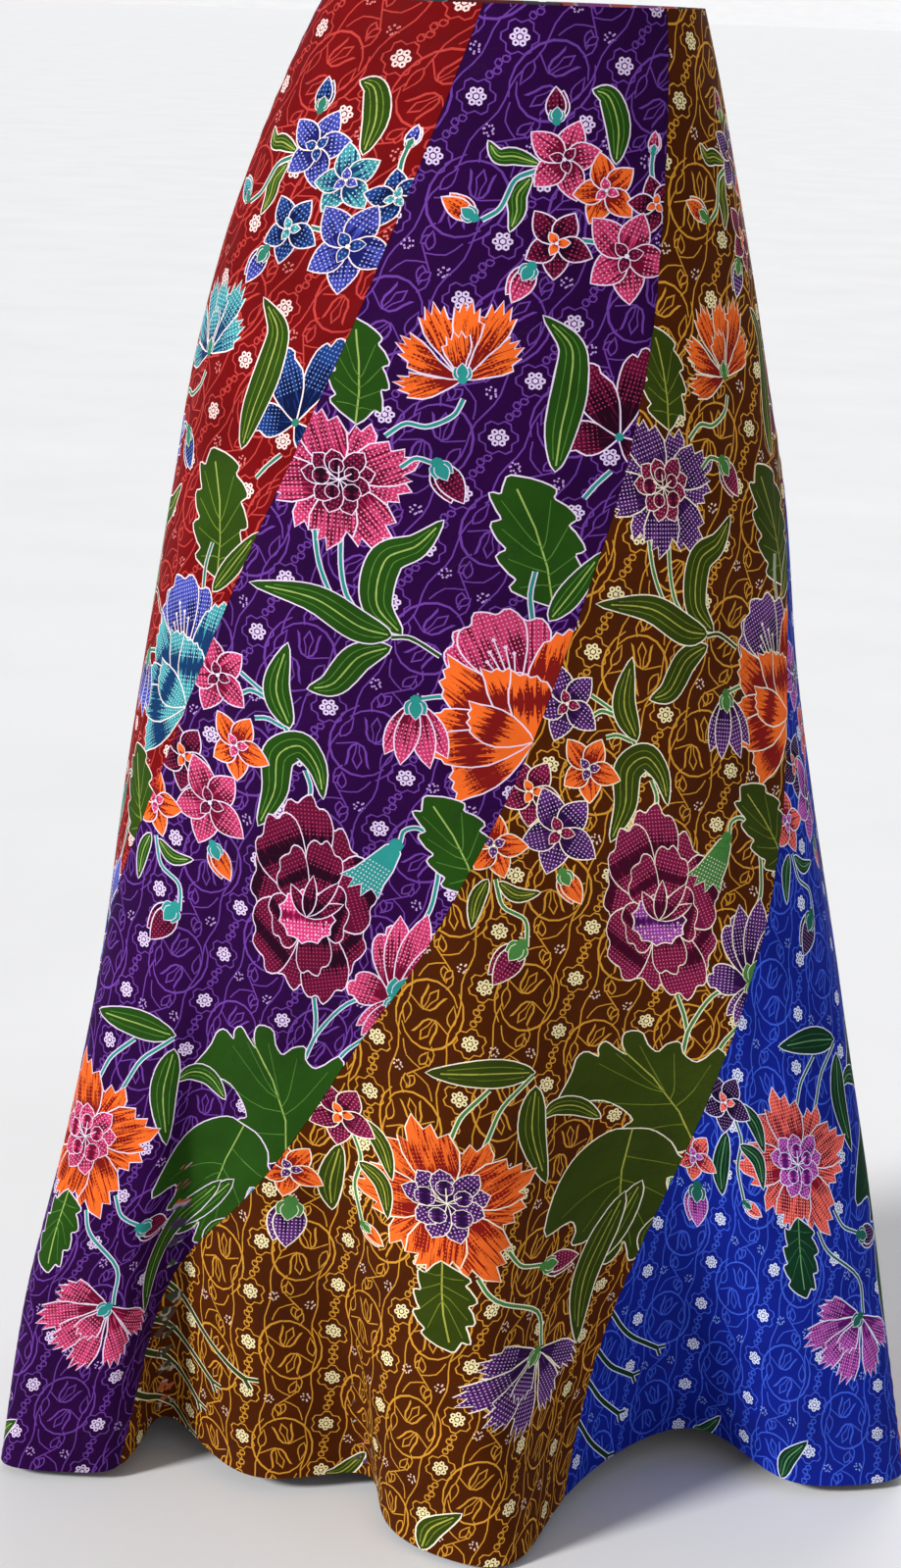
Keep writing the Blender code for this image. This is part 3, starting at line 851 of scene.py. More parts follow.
SCROLL_RADIUS = 22.0
SCROLL_TALL = 1.2      # how much taller than wide


def scroll(p, q, hand):
    """Two C lines that roll inwards, round a pair of tulips and a pair of leaves."""
    t = np.linspace(0, 1, 11)
    radius = SCROLL_RADIUS - 4.0 * t
    for way in (-1, 1):
        turn = np.radians(90 * way + 40 + 200 * t)
        path = np.stack([p + hand * radius * np.cos(turn), q + SCROLL_TALL * radius * np.sin(turn)], -1)
        put_ground(ribbon(path, 0.7 + 0.8 * np.sin(np.pi * t)), "line")
        stalk = [(p + hand * way * 15, q + way * 9), (p + hand * way * 8, q + way * 4),
                 (p + hand * way * 4, q + way * 2)]
        put_ground(ribbon(through(stalk, 4), 0.8), "line")
        ground_tulip(p + hand * way * 4.0, q + way * 2.0, 90 * way + hand * 20, 16.5)
        drop_shape(p + hand * way * 15, q + way * 4, -90 * way - hand * 12, 16, 6.4, bend=0.10 * hand)


def branch(p, q, hand):
    """Forked lines, leaves and rings of dots."""
    t = np.linspace(-1, 1, 9)
    put_ground(ribbon(np.stack([p + hand * 9 * np.sin(t * 2.4), q + 19 * t], -1), 0.9), "line")
    for way in (1, -1):
        fork = [(p + hand * way * 2, q + way * 2), (p - hand * way * 8, q + way * 7),
                (p - hand * way * 12, q + way * 17)]
        put_ground(ribbon(through(fork, 5), 0.8), "line")
        drop_shape(p + hand * way * 1, q + way * 4, 90 * way - hand * 20, 12, 5.8)
        drop_shape(p - hand * way * 7, q - way * 5, -90 * way + hand * 24, 10, 5.0)
        ring_of_dots(p + hand * way * 12, q + way * 2, 2.7, 6)
        ring_of_dots(p - hand * way * 13, q - way * 1, 2.5, 5)


print("repeat's parts ready")

# %% Lay the repeat over a whole gore


def wavy_lines(middle, shift):
    """The pair of lines that hold a chain, in stretches of 30 steps."""
    along = np.arange(-140.0, 1240.0, 7.0)
    bulge = 12.8 + 1.6 * np.cos((along - shift) / BLOOM * 2 * np.pi)
    for hand in (1, -1):
        for first in range(0, len(along) - 1, 30):
            cut = slice(first, first + 31)
            line = np.stack([middle + hand * bulge[cut], along[cut]], -1)
            put_ground(ribbon(line, 0.9), "line")


def lay_ground(spread):
    """Fill the gore's chart with the repeat. spread is how far the gore stretches each row of it."""
    shapes.clear()
    for column in range(-7, 8):
        middle = column * COLUMN
        shift = BLOOM / 2 if column % 2 else 0.0
        wavy_lines(middle, shift)
        for k in range(-4, 34):
            q = k * BLOOM + shift
            chain_flower(middle, q)
            for i, step in enumerate((-6.0, -2.0, 2.0, 6.0)):
                curl(middle + (0.8, -0.8)[i % 2], q + BLOOM / 2 + step, 1 - 2 * (i % 2))
            figure = scroll if k % 2 else branch
            figure(middle + COLUMN / 2, q + shift / 2, 1 if k % 4 < 2 else -1)
    seen = []
    for shape in shapes:
        across = across_at(shape.outline[:, 1])[0]
        stretch = np.interp(shape.outline[:, 1], chart_rows, spread)
        x = across + (shape.outline[:, 0] - across) / stretch
        shape = shape._replace(outline=np.stack([x, shape.outline[:, 1]], -1))
        if (np.any(np.abs(share_of(shape.outline)[:, 0] - 0.5) < 0.55)
                and shape.outline[:, 1].max() > 0 and shape.outline[:, 1].min() < CHART_LENGTH):
            seen.append(shape)
    shapes[:] = seen


lay_ground(np.ones_like(chart_rows))
print(len(shapes), "outlines in the repeat")

# %% [markdown]
# ## The bouquets
#
# Loose bouquets run down the middle of each gore: open flowers, a carnation, peonies, a tulip, buds
# and bells on thin curved stems, with plain, toothed and lobed leaves. Each row of the table is one
# of them: its kind, its colour family, its width and a few points. Points are in millimetres:
# across from the gore's middle line, and down from the waist. The first point is the base or the
# centre, and the last is the tip or the rim. The places were picked on the photograph and
# turned into millimetres on the cloth.

# %% Table of flowers and leaves
Motif = namedtuple("Motif", "kind tone wide points")
MOTIFS = [
    Motif("leaf", "leaf", 14, [(36, 87), (33, 67), (24, 50), (14, 46)]),
    Motif("leaf", "leaf", 9, [(-5, 88), (-19, 84), (-28, 84), (-35, 76)]),
    Motif("leaf", "leaf", 10, [(-8, 95), (-13, 105), (-11, 115), (-12, 126)]),
    Motif("stem", "stem", 0, [(-5, 91), (-16, 97), (-20, 113), (-28, 120)]),
    Motif("stem", "stem", 0, [(27, 130), (35, 131)]),
    Motif("stem", "stem", 0, [(57, 81), (58, 90), (63, 104)]),
    Motif("bud", "flame", 15, [(-32, 119), (-51, 107)]),
    Motif("bud", "plum", 14, [(-2, 64), (-5, 45)]),
    Motif("flower", "rose", 0, [(7, 85), (8, 61)]),
    Motif("flower", "flame", 0, [(34, 102), (31, 123)]),
    Motif("flower", "plum", 0, [(14, 132), (20, 154)]),
    Motif("bud", "rose", 16, [(4, 145), (-3, 165)]),
    Motif("bud", "rose", 9, [(57, 81), (57, 69)]),
    Motif("flower", "plum", 0, [(65, 110), (55, 93)]),
    Motif("flower", "rose", 0, [(54, 139), (66, 168)]),
    Motif("stem", "stem", 0, [(-10, 222), (-12, 232), (-23, 239), (-35, 238), (-43, 246)]),
    Motif("carnation", "flame", 0, [(-14, 211), (-25, 168)]),
    Motif("iris", "plum", 0, [(79, 243), (56, 201)]),
    Motif("leaf", "leaf", 19, [(51, 263), (46, 239), (43, 214), (37, 191), (17, 173)]),
    Motif("stem", "stem", 0, [(81, 263), (76, 270), (72, 279)]),
    Motif("toothed_leaf", "leaf", 35, [(-61, 240), (-73, 180)]),
    Motif("stem", "stem", 0, [(-63, 302), (-52, 325), (-35, 347), (-17, 357)]),
    Motif("stem", "stem", 0, [(-48, 301), (-40, 324), (-30, 343), (-15, 358)]),
    Motif("peony", "rose", 0, [(-59, 274), (-29, 255)]),
    Motif("stem", "stem", 0, [(-29, 264), (-23, 258), (-14, 260)]),
    Motif("bud", "plum", 19, [(-11, 260), (9, 284)]),
    Motif("toothed_leaf", "leaf", 48, [(81, 345), (38, 264)]),
    Motif("leaf", "leaf", 14, [(82, 353), (88, 334), (94, 312)]),
    Motif("stem", "stem", 0, [(63, 323), (66, 338), (74, 355)]),
    Motif("leaf", "leaf", 19, [(8, 365), (-12, 347), (-17, 320), (-4, 310), (4, 294)]),
    Motif("leaf", "leaf", 17, [(5, 373), (-10, 381), (-18, 399), (-31, 404)]),
    Motif("leaf", "leaf", 19, [(3, 366), (-16, 362), (-48, 347), (-88, 343)]),
    Motif("stem", "leaf", 0, [(3, 367), (14, 367), (33, 377)]),
    Motif("stem", "stem", 0, [(59, 407), (45, 402), (33, 404)]),
    Motif("frill", "rose", 0, [(83, 401), (46, 350)]),
    Motif("tulip", "flame", 0, [(104, 429), (43, 414)]),
    Motif("bell", "rose", 26, [(30, 405), (47, 447)]),
    Motif("stem", "stem", 0, [(-74, 400), (-53, 412), (-37, 428), (-25, 440)]),
    Motif("stem", "stem", 0, [(-69, 413), (-63, 410), (-51, 414)]),
    Motif("stem", "stem", 0, [(-55, 427), (-47, 426), (-36, 430)]),
    Motif("stem", "stem", 0, [(-92, 518), (-79, 536), (-60, 546), (-51, 564)]),
    Motif("leaf", "leaf", 16, [(-32, 430), (-49, 406), (-52, 377)]),
    Motif("leaf", "leaf", 19, [(-25, 496), (-25, 472), (-32, 449), (-22, 441), (-7, 453), (5, 473)]),
    Motif("leaf", "leaf", 9, [(-89, 520), (-73, 529), (-58, 528)]),
    Motif("leaf", "leaf", 10, [(-97, 518), (-98, 532), (-93, 550)]),
    Motif("flower", "plum", 0, [(-93, 461), (-82, 486)]),
    Motif("flower", "rose", 0, [(-89, 405), (-87, 431)]),
    Motif("flower", "flame", 0, [(-60, 447), (-47, 471)]),
    Motif("flower", "rose", 0, [(-63, 488), (-55, 519)]),
    Motif("flower", "flame", 0, [(-103, 496), (-83, 518)]),
    Motif("bud", "flame", 18, [(-49, 515), (-28, 538)]),
    Motif("bud", "plum", 23, [(-55, 562), (-64, 586)]),
    Motif("stem", "stem", 0, [(-13, 456), (-5, 467), (-1, 480)]),
    Motif("stem", "stem", 0, [(70, 607), (82, 622), (93, 639)]),
    Motif("stem", "stem", 0, [(109, 599), (93, 608), (90, 631), (95, 651)]),
    Motif("stem", "stem", 0, [(122, 630), (117, 640), (116, 651)]),
    Motif("stem", "stem", 0, [(62, 499), (60, 489), (70, 488), (88, 505), (101, 536), (102, 556)]),
    Motif("toothed_leaf", "leaf", 41, [(124, 529), (68, 463)]),
    Motif("dark_peony", "plum", 0, [(30, 543), (-4, 476)]),
    Motif("pod", "stem", 0, [(60, 499), (57, 530)]),
    Motif("iris", "rose", 0, [(118, 601), (96, 555)]),
    Motif("bell", "rose", 36, [(118, 601), (114, 548)]),
    Motif("bell", "rose", 19, [(118, 601), (125, 631)]),
    Motif("stem", "stem", 0, [(119, 725), (132, 748), (140, 769)]),
    Motif("lobed_leaf", "leaf", 104, [(137, 728), (51, 630)]),
    Motif("lobed_leaf", "leaf", 110, [(89, 709), (120, 817)]),
    Motif("leaf", "leaf", 19, [(-3, 651), (-36, 647), (-73, 647)]),
    Motif("leaf", "leaf", 13, [(62, 696), (42, 684), (25, 680), (16, 685)]),
    Motif("leaf", "leaf", 19, [(2, 661), (12, 692), (40, 733)]),
    Motif("stem", "stem", 0, [(-3, 653), (-17, 673), (-18, 700)]),
    Motif("stem", "stem", 0, [(-30, 658), (-40, 675), (-40, 691)]),
    Motif("leaf", "leaf", 11, [(143, 786), (143, 802), (153, 822)]),
    Motif("stem", "stem", 0, [(17, 785), (35, 802), (76, 825), (91, 853)]),
    Motif("stem", "stem", 0, [(29, 771), (45, 785), (64, 792)]),
    Motif("bud", "plum", 20, [(67, 794), (97, 801)]),
    Motif("peony", "flame", 0, [(-24, 734), (15, 715)]),
    Motif("toothed_leaf", "leaf", 35, [(-8, 774), (18, 835)]),
    Motif("carnation", "rose", 0, [(88, 854), (65, 889)]),
    Motif("stem", "stem", 0, [(-98, 700), (-86, 717), (-81, 739), (-62, 768)]),
    Motif("leaf", "leaf", 12, [(-97, 688), (-77, 704), (-61, 725)]),
    Motif("leaf", "leaf", 15, [(-102, 711), (-96, 742), (-86, 763)]),
    Motif("leaf", "leaf", 12, [(-86, 720), (-66, 730), (-51, 753)]),
    Motif("flower", "plum", 0, [(-111, 688), (-100, 714)]),
    Motif("flower", "flame", 0, [(-123, 734), (-114, 757)]),
    Motif("bud", "rose", 25, [(-111, 759), (-99, 794)]),
    Motif("bud", "flame", 13, [(-64, 765), (-44, 775)]),
    Motif("leaf", "leaf", 19, [(116, 753), (115, 792), (111, 817)]),
    Motif("leaf", "leaf", 19, [(108, 759), (111, 817), (128, 870)]),
    Motif("twig", "leaf", 0, [(-169, 843), (-125, 882), (-84, 904)]),
    Motif("twig", "leaf", 0, [(-170, 873), (-136, 903), (-102, 922)]),
    Motif("twig", "leaf", 0, [(-168, 898), (-139, 926), (-107, 950)]),
    Motif("twig", "leaf", 0, [(-169, 927), (-139, 958), (-108, 982)]),
    Motif("leaf", "leaf", 9, [(-23, 984), (-14, 983), (-7, 964)]),
    Motif("leaf", "leaf", 12, [(61, 985), (60, 966), (70, 949)]),
]

HEARTS = {"rose": "plum", "flame": "rose", "plum": "flame"}
BLOOMS = {"carnation": carnation, "dark_peony": dark_peony, "tulip": tulip, "frill": frill, "iris": iris}
HEARTED = {"flower": flower, "peony": peony}
SLENDER = {"bud": bud, "bell": bell}
BROAD_LEAVES = {"toothed_leaf": (TOOTHED, TOOTH_TIPS), "lobed_leaf": (FAN, FAN_TIPS)}


def lay_motif(motif):
    points = np.array(motif.points, float)
    points[:, 0] += across_at(points[:, 1])[0]
    kind, ends = motif.kind, (tuple(points[0]), tuple(points[-1]))
    if kind in BLOOMS:
        BLOOMS[kind](*ends, motif.tone)
    elif kind in HEARTED:
        HEARTED[kind](*ends, motif.tone, HEARTS[motif.tone])
    elif kind in SLENDER:
        SLENDER[kind](*ends, motif.tone, motif.wide)
    elif kind in BROAD_LEAVES:
        broad_leaf(*ends, motif.wide, *BROAD_LEAVES[kind])
    elif kind == "pod":
        pod(*ends)
    elif kind == "twig":
        twig(points)
    elif kind == "leaf":
        leaf(points, motif.wide)
    else:
        stem(points, motif.tone)


shapes.clear()
for motif in MOTIFS:
    lay_motif(motif)
print(len(MOTIFS), "flowers and leaves,", len(shapes), "outlines")

# %% [markdown]
# ## Cutting the cloth along the drawing
#
# The print is now a pile of outlines. To colour cloth with it, the cloth's own mesh is cut along
# every outline, so each face lies wholly in one colour. A constrained Delaunay triangulation does
# all the cuts at once, far faster than knife cuts one by one. Each face then takes the colours of
# the topmost outline that its middle lies in. Outlines that the flowers hide are left out first.

# %% Which points lie in an outline


def lies_in(points, outline):
    """Whether each point is inside an outline, also one that crosses itself."""
    x, y = points[:, :1], points[:, 1:]
    ax, ay = outline[:, 0], outline[:, 1]
    bx, by = np.roll(ax, -1), np.roll(ay, -1)
    left = (bx - ax) * (y - ay) - (x - ax) * (by - ay)
    up = (ay <= y) & (by > y) & (left > 0)
    down = (ay > y) & (by <= y) & (left < 0)
    return (up.sum(1) - down.sum(1)) != 0


def frame_of(outline):
    return outline.min(0), outline.max(0)


square = np.array([(0, 0), (1, 0), (1, 1), (0, 1)], float)
print("inside and outside a square:", lies_in(np.array([(0.5, 0.5), (2, 2)]), square))

# %% Outlines on the flat sheet
SHEET = 250.0     # the flat sheet's width in the cutting, in mm
EDGE_CUTS = np.array([0, 1.2, 2.6, 4.4, 7])      # close together, where the cloth dips at a seam
ACROSS_CUTS = np.concatenate([EDGE_CUTS, np.linspace(10, SHEET - 10, 66), SHEET - EDGE_CUTS[::-1]])
DOWN_CUTS = np.linspace(0, CHART_LENGTH, 92)


def flat(points):
    place = share_of(points)
    return np.stack([place[:, 0] * SHEET, place[:, 1]], -1)


def seen_outlines(flats, frames, ground_count):
    """Numbers of the outlines that the flowers and leaves don't hide."""
    squares = np.stack(np.meshgrid(np.arange(0.5, SHEET), np.arange(0.5, CHART_LENGTH)), -1)
    covered = np.zeros(squares.shape[:2], bool)
    for k in range(ground_count, len(flats)):
        low = np.maximum(np.floor(frames[k][0]).astype(int), 0)
        high = np.ceil(frames[k][1]).astype(int)
        block = (slice(low[1], high[1]), slice(low[0], high[0]))
        if squares[block].size:
            inside = lies_in(squares[block].reshape(-1, 2), flats[k])
            covered[block] |= inside.reshape(squares[block].shape[:2])
    kept = []
    for k, outline in enumerate(flats):
        low, high = frames[k]
        if high[0] < 0 or low[0] > SHEET or high[1] < 0 or low[1] > CHART_LENGTH:
            continue
        column = np.clip(outline[:, 0].astype(int), 0, covered.shape[1] - 1)
        row = np.clip(outline[:, 1].astype(int), 0, covered.shape[0] - 1)
        if k >= ground_count or not covered[row, column].all():
            kept.append(k)
    return kept


print("sheet of", SHEET, "by", CHART_LENGTH, "mm")

# %% Cut the sheet


def cut_sheet(kept, flats):
    """Triangles of the flat sheet, with an edge along every outline."""
    grid = np.stack(np.meshgrid(ACROSS_CUTS, DOWN_CUTS), -1).reshape(-1, 2)
    points = [Vector(corner) for corner in ((0, 0), (SHEET, 0), (SHEET, CHART_LENGTH), (0, CHART_LENGTH))]
    edges = [(0, 1), (1, 2), (2, 3), (3, 0)]
    for k in kept:
        first, count = len(points), len(flats[k])
        points += [Vector(point) for point in flats[k].tolist()]
        edges += [(first + i, first + (i + 1) % count) for i in range(count)]
    points += [Vector(point) for point in grid.tolist()]
    found, _, faces, _, _, _ = delaunay_2d_cdt(points, edges, [], 0, 1e-4)
    found = np.array([tuple(point) for point in found])
    faces = np.array([tuple(face) for face in faces])
    middles = found[faces].mean(1)
    on_sheet = ((middles > 0) & (middles < (SHEET, CHART_LENGTH))).all(1)
    faces, middles = faces[on_sheet], middles[on_sheet]
    used = np.unique(faces)
    renumber = np.full(len(found), -1)
    renumber[used] = np.arange(len(used))
    return found[used], renumber[faces], middles


def topmost(middles, kept, flats, frames):
    """For each face, the number of the last outline that holds its middle, or -1."""
    order = np.argsort(middles[:, 1])
    sorted_middles = middles[order]
    owner = np.full(len(middles), -1)
    for k in kept:
        low, high = frames[k]
        start, stop = np.searchsorted(sorted_middles[:, 1], (low[1], high[1]))
        near = np.arange(start, stop)
        across = sorted_middles[near, 0]
        near = near[(across >= low[0]) & (across <= high[0])]
        if len(near):
            near = near[lies_in(sorted_middles[near], flats[k])]
            owner[order[near]] = k
    return owner


print(len(ACROSS_CUTS), "by", len(DOWN_CUTS), "cuts besides the outlines")

# %% Draw and cut one cloth
Cut = namedtuple("Cut", "points faces owner shapes")


def draw_and_cut(spread):
    lay_ground(spread)
    ground_count = len(shapes)
    for motif in MOTIFS:
        lay_motif(motif)
    flats = [flat(shape.outline) for shape in shapes]
    frames = [frame_of(outline) for outline in flats]
    kept = seen_outlines(flats, frames, ground_count)
    points, faces, middles = cut_sheet(kept, flats)
    owner = topmost(middles, kept, flats, frames)
    print(len(kept), "of", len(shapes), "outlines can be seen;", len(faces), "faces;",
          round(100 * np.mean(owner < 0)), "% of them are bare ground")
    return Cut(points, faces, owner, list(shapes))


print("ready to cut")

# %% [markdown]
# ## Colourways
#
# The six gores share one drawing, and each colourway gives every colour name its own dye. The
# values are ordinary screen colours from 0 to 255, turned into the linear light that Blender
# works in.

# %% Dyes
# tone: purple, brown, blue, red
DYE_TABLE = {
    "ground": ((39, 3, 57), (72, 29, 2), (14, 30, 132), (110, 7, 11)),
    "line": ((104, 58, 148), (206, 146, 48), (58, 92, 210), (190, 62, 56)),
    "speck": ((186, 150, 214), (238, 208, 190), (130, 160, 230), (226, 130, 124)),
    "cream": ((222, 200, 236), (244, 230, 176), (222, 230, 250), (250, 220, 214)),
    "wax": ((232, 214, 236), (246, 236, 214), (222, 226, 246), (246, 226, 222)),
    "stem": ((42, 138, 132), (70, 125, 60), (26, 92, 78), (46, 120, 100)),
    "leaf": ((34, 70, 16), (50, 64, 12), (14, 50, 32), (44, 70, 14)),
    "rib": ((150, 175, 90), (165, 165, 70), (100, 150, 100), (160, 170, 84)),
    "vein": ((80, 122, 50), (112, 124, 40), (50, 104, 66), (112, 134, 44)),
    "rose": ((196, 56, 104), (84, 36, 104), (165, 66, 160), (66, 72, 166)),
    "rose_deep": ((104, 10, 42), (40, 12, 60), (84, 16, 96), (24, 26, 92)),
    "rose_dot": ((240, 160, 190), (225, 195, 235), (235, 170, 230), (190, 196, 240)),
    "flame": ((238, 104, 36), (238, 106, 38), (226, 84, 76), (64, 152, 160)),
    "flame_deep": ((124, 22, 20), (132, 24, 20), (120, 16, 40), (16, 52, 96)),
    "flame_dot": ((238, 104, 36), (238, 106, 38), (255, 180, 160), (190, 230, 230)),
    "plum": ((92, 14, 46), (118, 22, 62), (40, 18, 58), (26, 58, 122)),
    "plum_deep": ((36, 4, 26), (66, 6, 34), (16, 6, 30), (8, 20, 60)),
    "plum_dot": ((190, 60, 100), (225, 110, 140), (170, 130, 200), (130, 160, 220)),
    "heart": ((222, 62, 128), (150, 60, 150), (215, 80, 160), (120, 90, 190)),
    "heart_deep": ((130, 14, 62), (70, 18, 84), (110, 20, 90), (40, 24, 110)),
    "heart_dot": ((255, 220, 230), (240, 215, 240), (250, 210, 240), (220, 210, 245)),
}
DYES = {
    colourway: {tone: row[column] for tone, row in DYE_TABLE.items()}
    for column, colourway in enumerate(("purple", "brown", "blue", "red"))
}


def light(colour):
    """Screen colour to linear light."""
    share = np.array(colour, float) / 255
    return np.where(share <= 0.04045, share / 12.92, ((share + 0.055) / 1.055) ** 2.4)


def dye(colours, name):
    """A tone's colour. A tone without streaks or dots of its own takes its own colour for them."""
    if name not in colours:
        name = name.removesuffix("_dot").removesuffix("_deep")
    return light(colours[name])


print("purple ground in linear light:", light(DYES["purple"]["ground"]).round(3))

# %% [markdown]
# ## Batik cotton
#
# One recipe serves all colourways. Its colours come from the mesh, where each corner of each face
# keeps three dyes: the shape's own, its streaks' and its dots'. A fourth value says how far the
# corner is from the base of its petal, and how far to the side. From that the material grows
# feathered streaks and rows of dots. Over it come the small faults of hand dyeing: cloudy colour,
# hair-fine crackle where the wax broke, and the weave of the cotton as a very low bump. The inside
# has a material of its own for each gore, a paler reverse with scattered flowers and leaves.

# %% A small helper for node trees


def fill(tree, node, inputs):
    """Fill a node's sockets with values or links. i0 names its first socket."""
    for name, value in inputs.items():
        numbered = name[0] == "i" and name[1:].isdigit()
        socket = node.inputs[int(name[1:]) if numbered else name]
        if isinstance(value, bpy.types.NodeSocket):
            tree.links.new(value, socket)
        else:
            socket.default_value = value


def add_node(tree, kind, settings=(), **inputs):
    """Add a node, set its options, and fill its sockets."""
    node = tree.nodes.new(kind)
    for name, value in dict(settings).items():
        setattr(node, name, value)
    fill(tree, node, inputs)
    return node


def maths(tree, operation, a, b=0.0, c=0.0):
    node = add_node(tree, "ShaderNodeMath", {"operation": operation}, i0=a, i1=b, i2=c)
    return node.outputs[0]


def mix_colour(tree, factor, a, b, blend="MIX"):
    node = add_node(tree, "ShaderNodeMix", {"data_type": "RGBA", "blend_type": blend}, i0=factor, i6=a, i7=b)
    return node.outputs[2]


def cloth_place(tree):
    return add_node(tree, "ShaderNodeUVMap", {"uv_map": "cloth"}).outputs[0]


def noise(tree, place, scale, detail=2.0, roughness=0.5):
    node = add_node(tree, "ShaderNodeTexNoise", (), Vector=place, Scale=scale,
                    Detail=detail, Roughness=roughness)
    return node.outputs[0]


def between(tree, value, low, high, to_low=0.0, to_high=1.0):
    """Stretch a value that goes from low to high, so that it goes from to_low to to_high."""
    node = add_node(tree, "ShaderNodeMapRange", (), i0=value, i1=low, i2=high, i3=to_low, i4=to_high)
    return node.outputs[0]


def bump(tree, height, strength, distance, below=None):
    """A bump, laid over another one if that is given."""
    under = {} if below is None else {"Normal": below}
    node = add_node(tree, "ShaderNodeBump", (), Strength=strength, Distance=distance, Height=height, **under)
    return node.outputs[0]


def weave(tree, place, pitch):
    """Threads over and under, as two crossed waves."""
    parts = add_node(tree, "ShaderNodeSeparateXYZ", (), i0=place).outputs
    warp, weft = (maths(tree, "SINE", maths(tree, "MULTIPLY", parts[i], 2 * math.pi / pitch)) for i in (0, 1))
    return maths(tree, "MULTIPLY", warp, weft)


def new_material(name):
    material = bpy.data.materials.new(name)
    material.use_nodes = True
    tree = material.node_tree
    tree.nodes.clear()
    out = tree.nodes.new("ShaderNodeOutputMaterial")
    finish = tree.nodes.new("ShaderNodeBsdfPrincipled")
    tree.links.new(finish.outputs[0], out.inputs[0])
    return material, tree, finish


print("node helpers ready")

# %% The batik material


THREAD = 0.0011            # metres from thread to thread
THREAD_BUMP = (0.25, 0.00012)
DOT_STEPS = (2.6, 2.2)     # mm from dot to dot, along the petal and across it
DOT_RADIUS = 0.2           # in shares of a step
DOTS_SHOW = 0.85
CRACKLE_SHOWS = 0.28


def streaks_of(tree, along, aside, reach):
    """Feathered streaks from a petal's base: the further the noise, the longer the streak."""
    fine = add_node(tree, "ShaderNodeCombineXYZ", (), i0=maths(tree, "MULTIPLY", aside, 0.9),
                    i1=maths(tree, "MULTIPLY", along, 0.05), i2=reach)
    feather = noise(tree, fine.outputs[0], 1.0, 2.0, 0.6)
    far = maths(tree, "MULTIPLY", reach, maths(tree, "MULTIPLY_ADD", feather, 4.4, -1.3))
    streaks = between(tree, maths(tree, "SUBTRACT", far, along), -0.5, 0.7)
    return maths(tree, "MULTIPLY", streaks, maths(tree, "GREATER_THAN", reach, 0.01))


def dots_of(tree, along, aside, reach):
    """Rows of dots just past the streaks."""
    cells = [maths(tree, "SUBTRACT", maths(tree, "FRACT", maths(tree, "DIVIDE", way, step)), 0.5)
             for way, step in zip((along, aside), DOT_STEPS)]
    squares = [maths(tree, "MULTIPLY", cell, cell) for cell in cells]
    dots = maths(tree, "LESS_THAN", maths(tree, "SQRT", maths(tree, "ADD", *squares)), DOT_RADIUS)
    past = maths(tree, "GREATER_THAN", along, maths(tree, "MULTIPLY", reach, 0.62))
    before = maths(tree, "LESS_THAN", along, maths(tree, "MULTIPLY", reach, 3.2))
    return maths(tree, "MULTIPLY", dots, maths(tree, "MULTIPLY", past, before))


def crackle_of(tree, place):
    """Hair-fine lines where the wax broke, in patches."""
    cells = add_node(tree, "ShaderNodeTexVoronoi", {"feature": "DISTANCE_TO_EDGE"}, Vector=place, Scale=95.0)
    lines = maths(tree, "LESS_THAN", cells.outputs["Distance"], 0.02)
    patches = maths(tree, "GREATER_THAN", noise(tree, place, 9.0), 0.56)
    return maths(tree, "MULTIPLY", maths(tree, "MULTIPLY", lines, patches), CRACKLE_SHOWS)


def batik(name):
    material, tree, finish = new_material(name)
    place = cloth_place(tree)
    tone, streak, spark = (add_node(tree, "ShaderNodeAttribute", {"attribute_name": layer}).outputs[0]
                           for layer in ("tone", "streak", "spark"))
    petal = add_node(tree, "ShaderNodeAttribute", {"attribute_name": "petal"}).outputs[1]
    parts = add_node(tree, "ShaderNodeSeparateXYZ", (), i0=petal).outputs
    petal_place = (maths(tree, "ABSOLUTE", parts[0]), parts[1], parts[2])

    colour = mix_colour(tree, streaks_of(tree, *petal_place), tone, streak)
    colour = mix_colour(tree, maths(tree, "MULTIPLY", dots_of(tree, *petal_place), DOTS_SHOW), colour, spark)
    cloud = between(tree, noise(tree, place, 22.0, 4.0, 0.6), 0.3, 0.7, 0.82, 1.14)
    grey = add_node(tree, "ShaderNodeCombineColor", (), i0=cloud, i1=cloud, i2=cloud)
    colour = mix_colour(tree, 1.0, colour, grey.outputs[0], "MULTIPLY")
    colour = mix_colour(tree, crackle_of(tree, place), colour, (0.02, 0.01, 0.02, 1))

    limp = noise(tree, place, 30.0, 3.0)
    threads = bump(tree, weave(tree, place, THREAD), *THREAD_BUMP, below=bump(tree, limp, 0.25, 0.002))
    fill(tree, finish, {
        "Base Color": colour, "Normal": threads, "Roughness": between(tree, limp, 0.3, 0.7, 0.62, 0.78),
        "Specular IOR Level": 0.04, "Sheen Weight": 0.01, "Sheen Roughness": 0.45,
    })
    return material


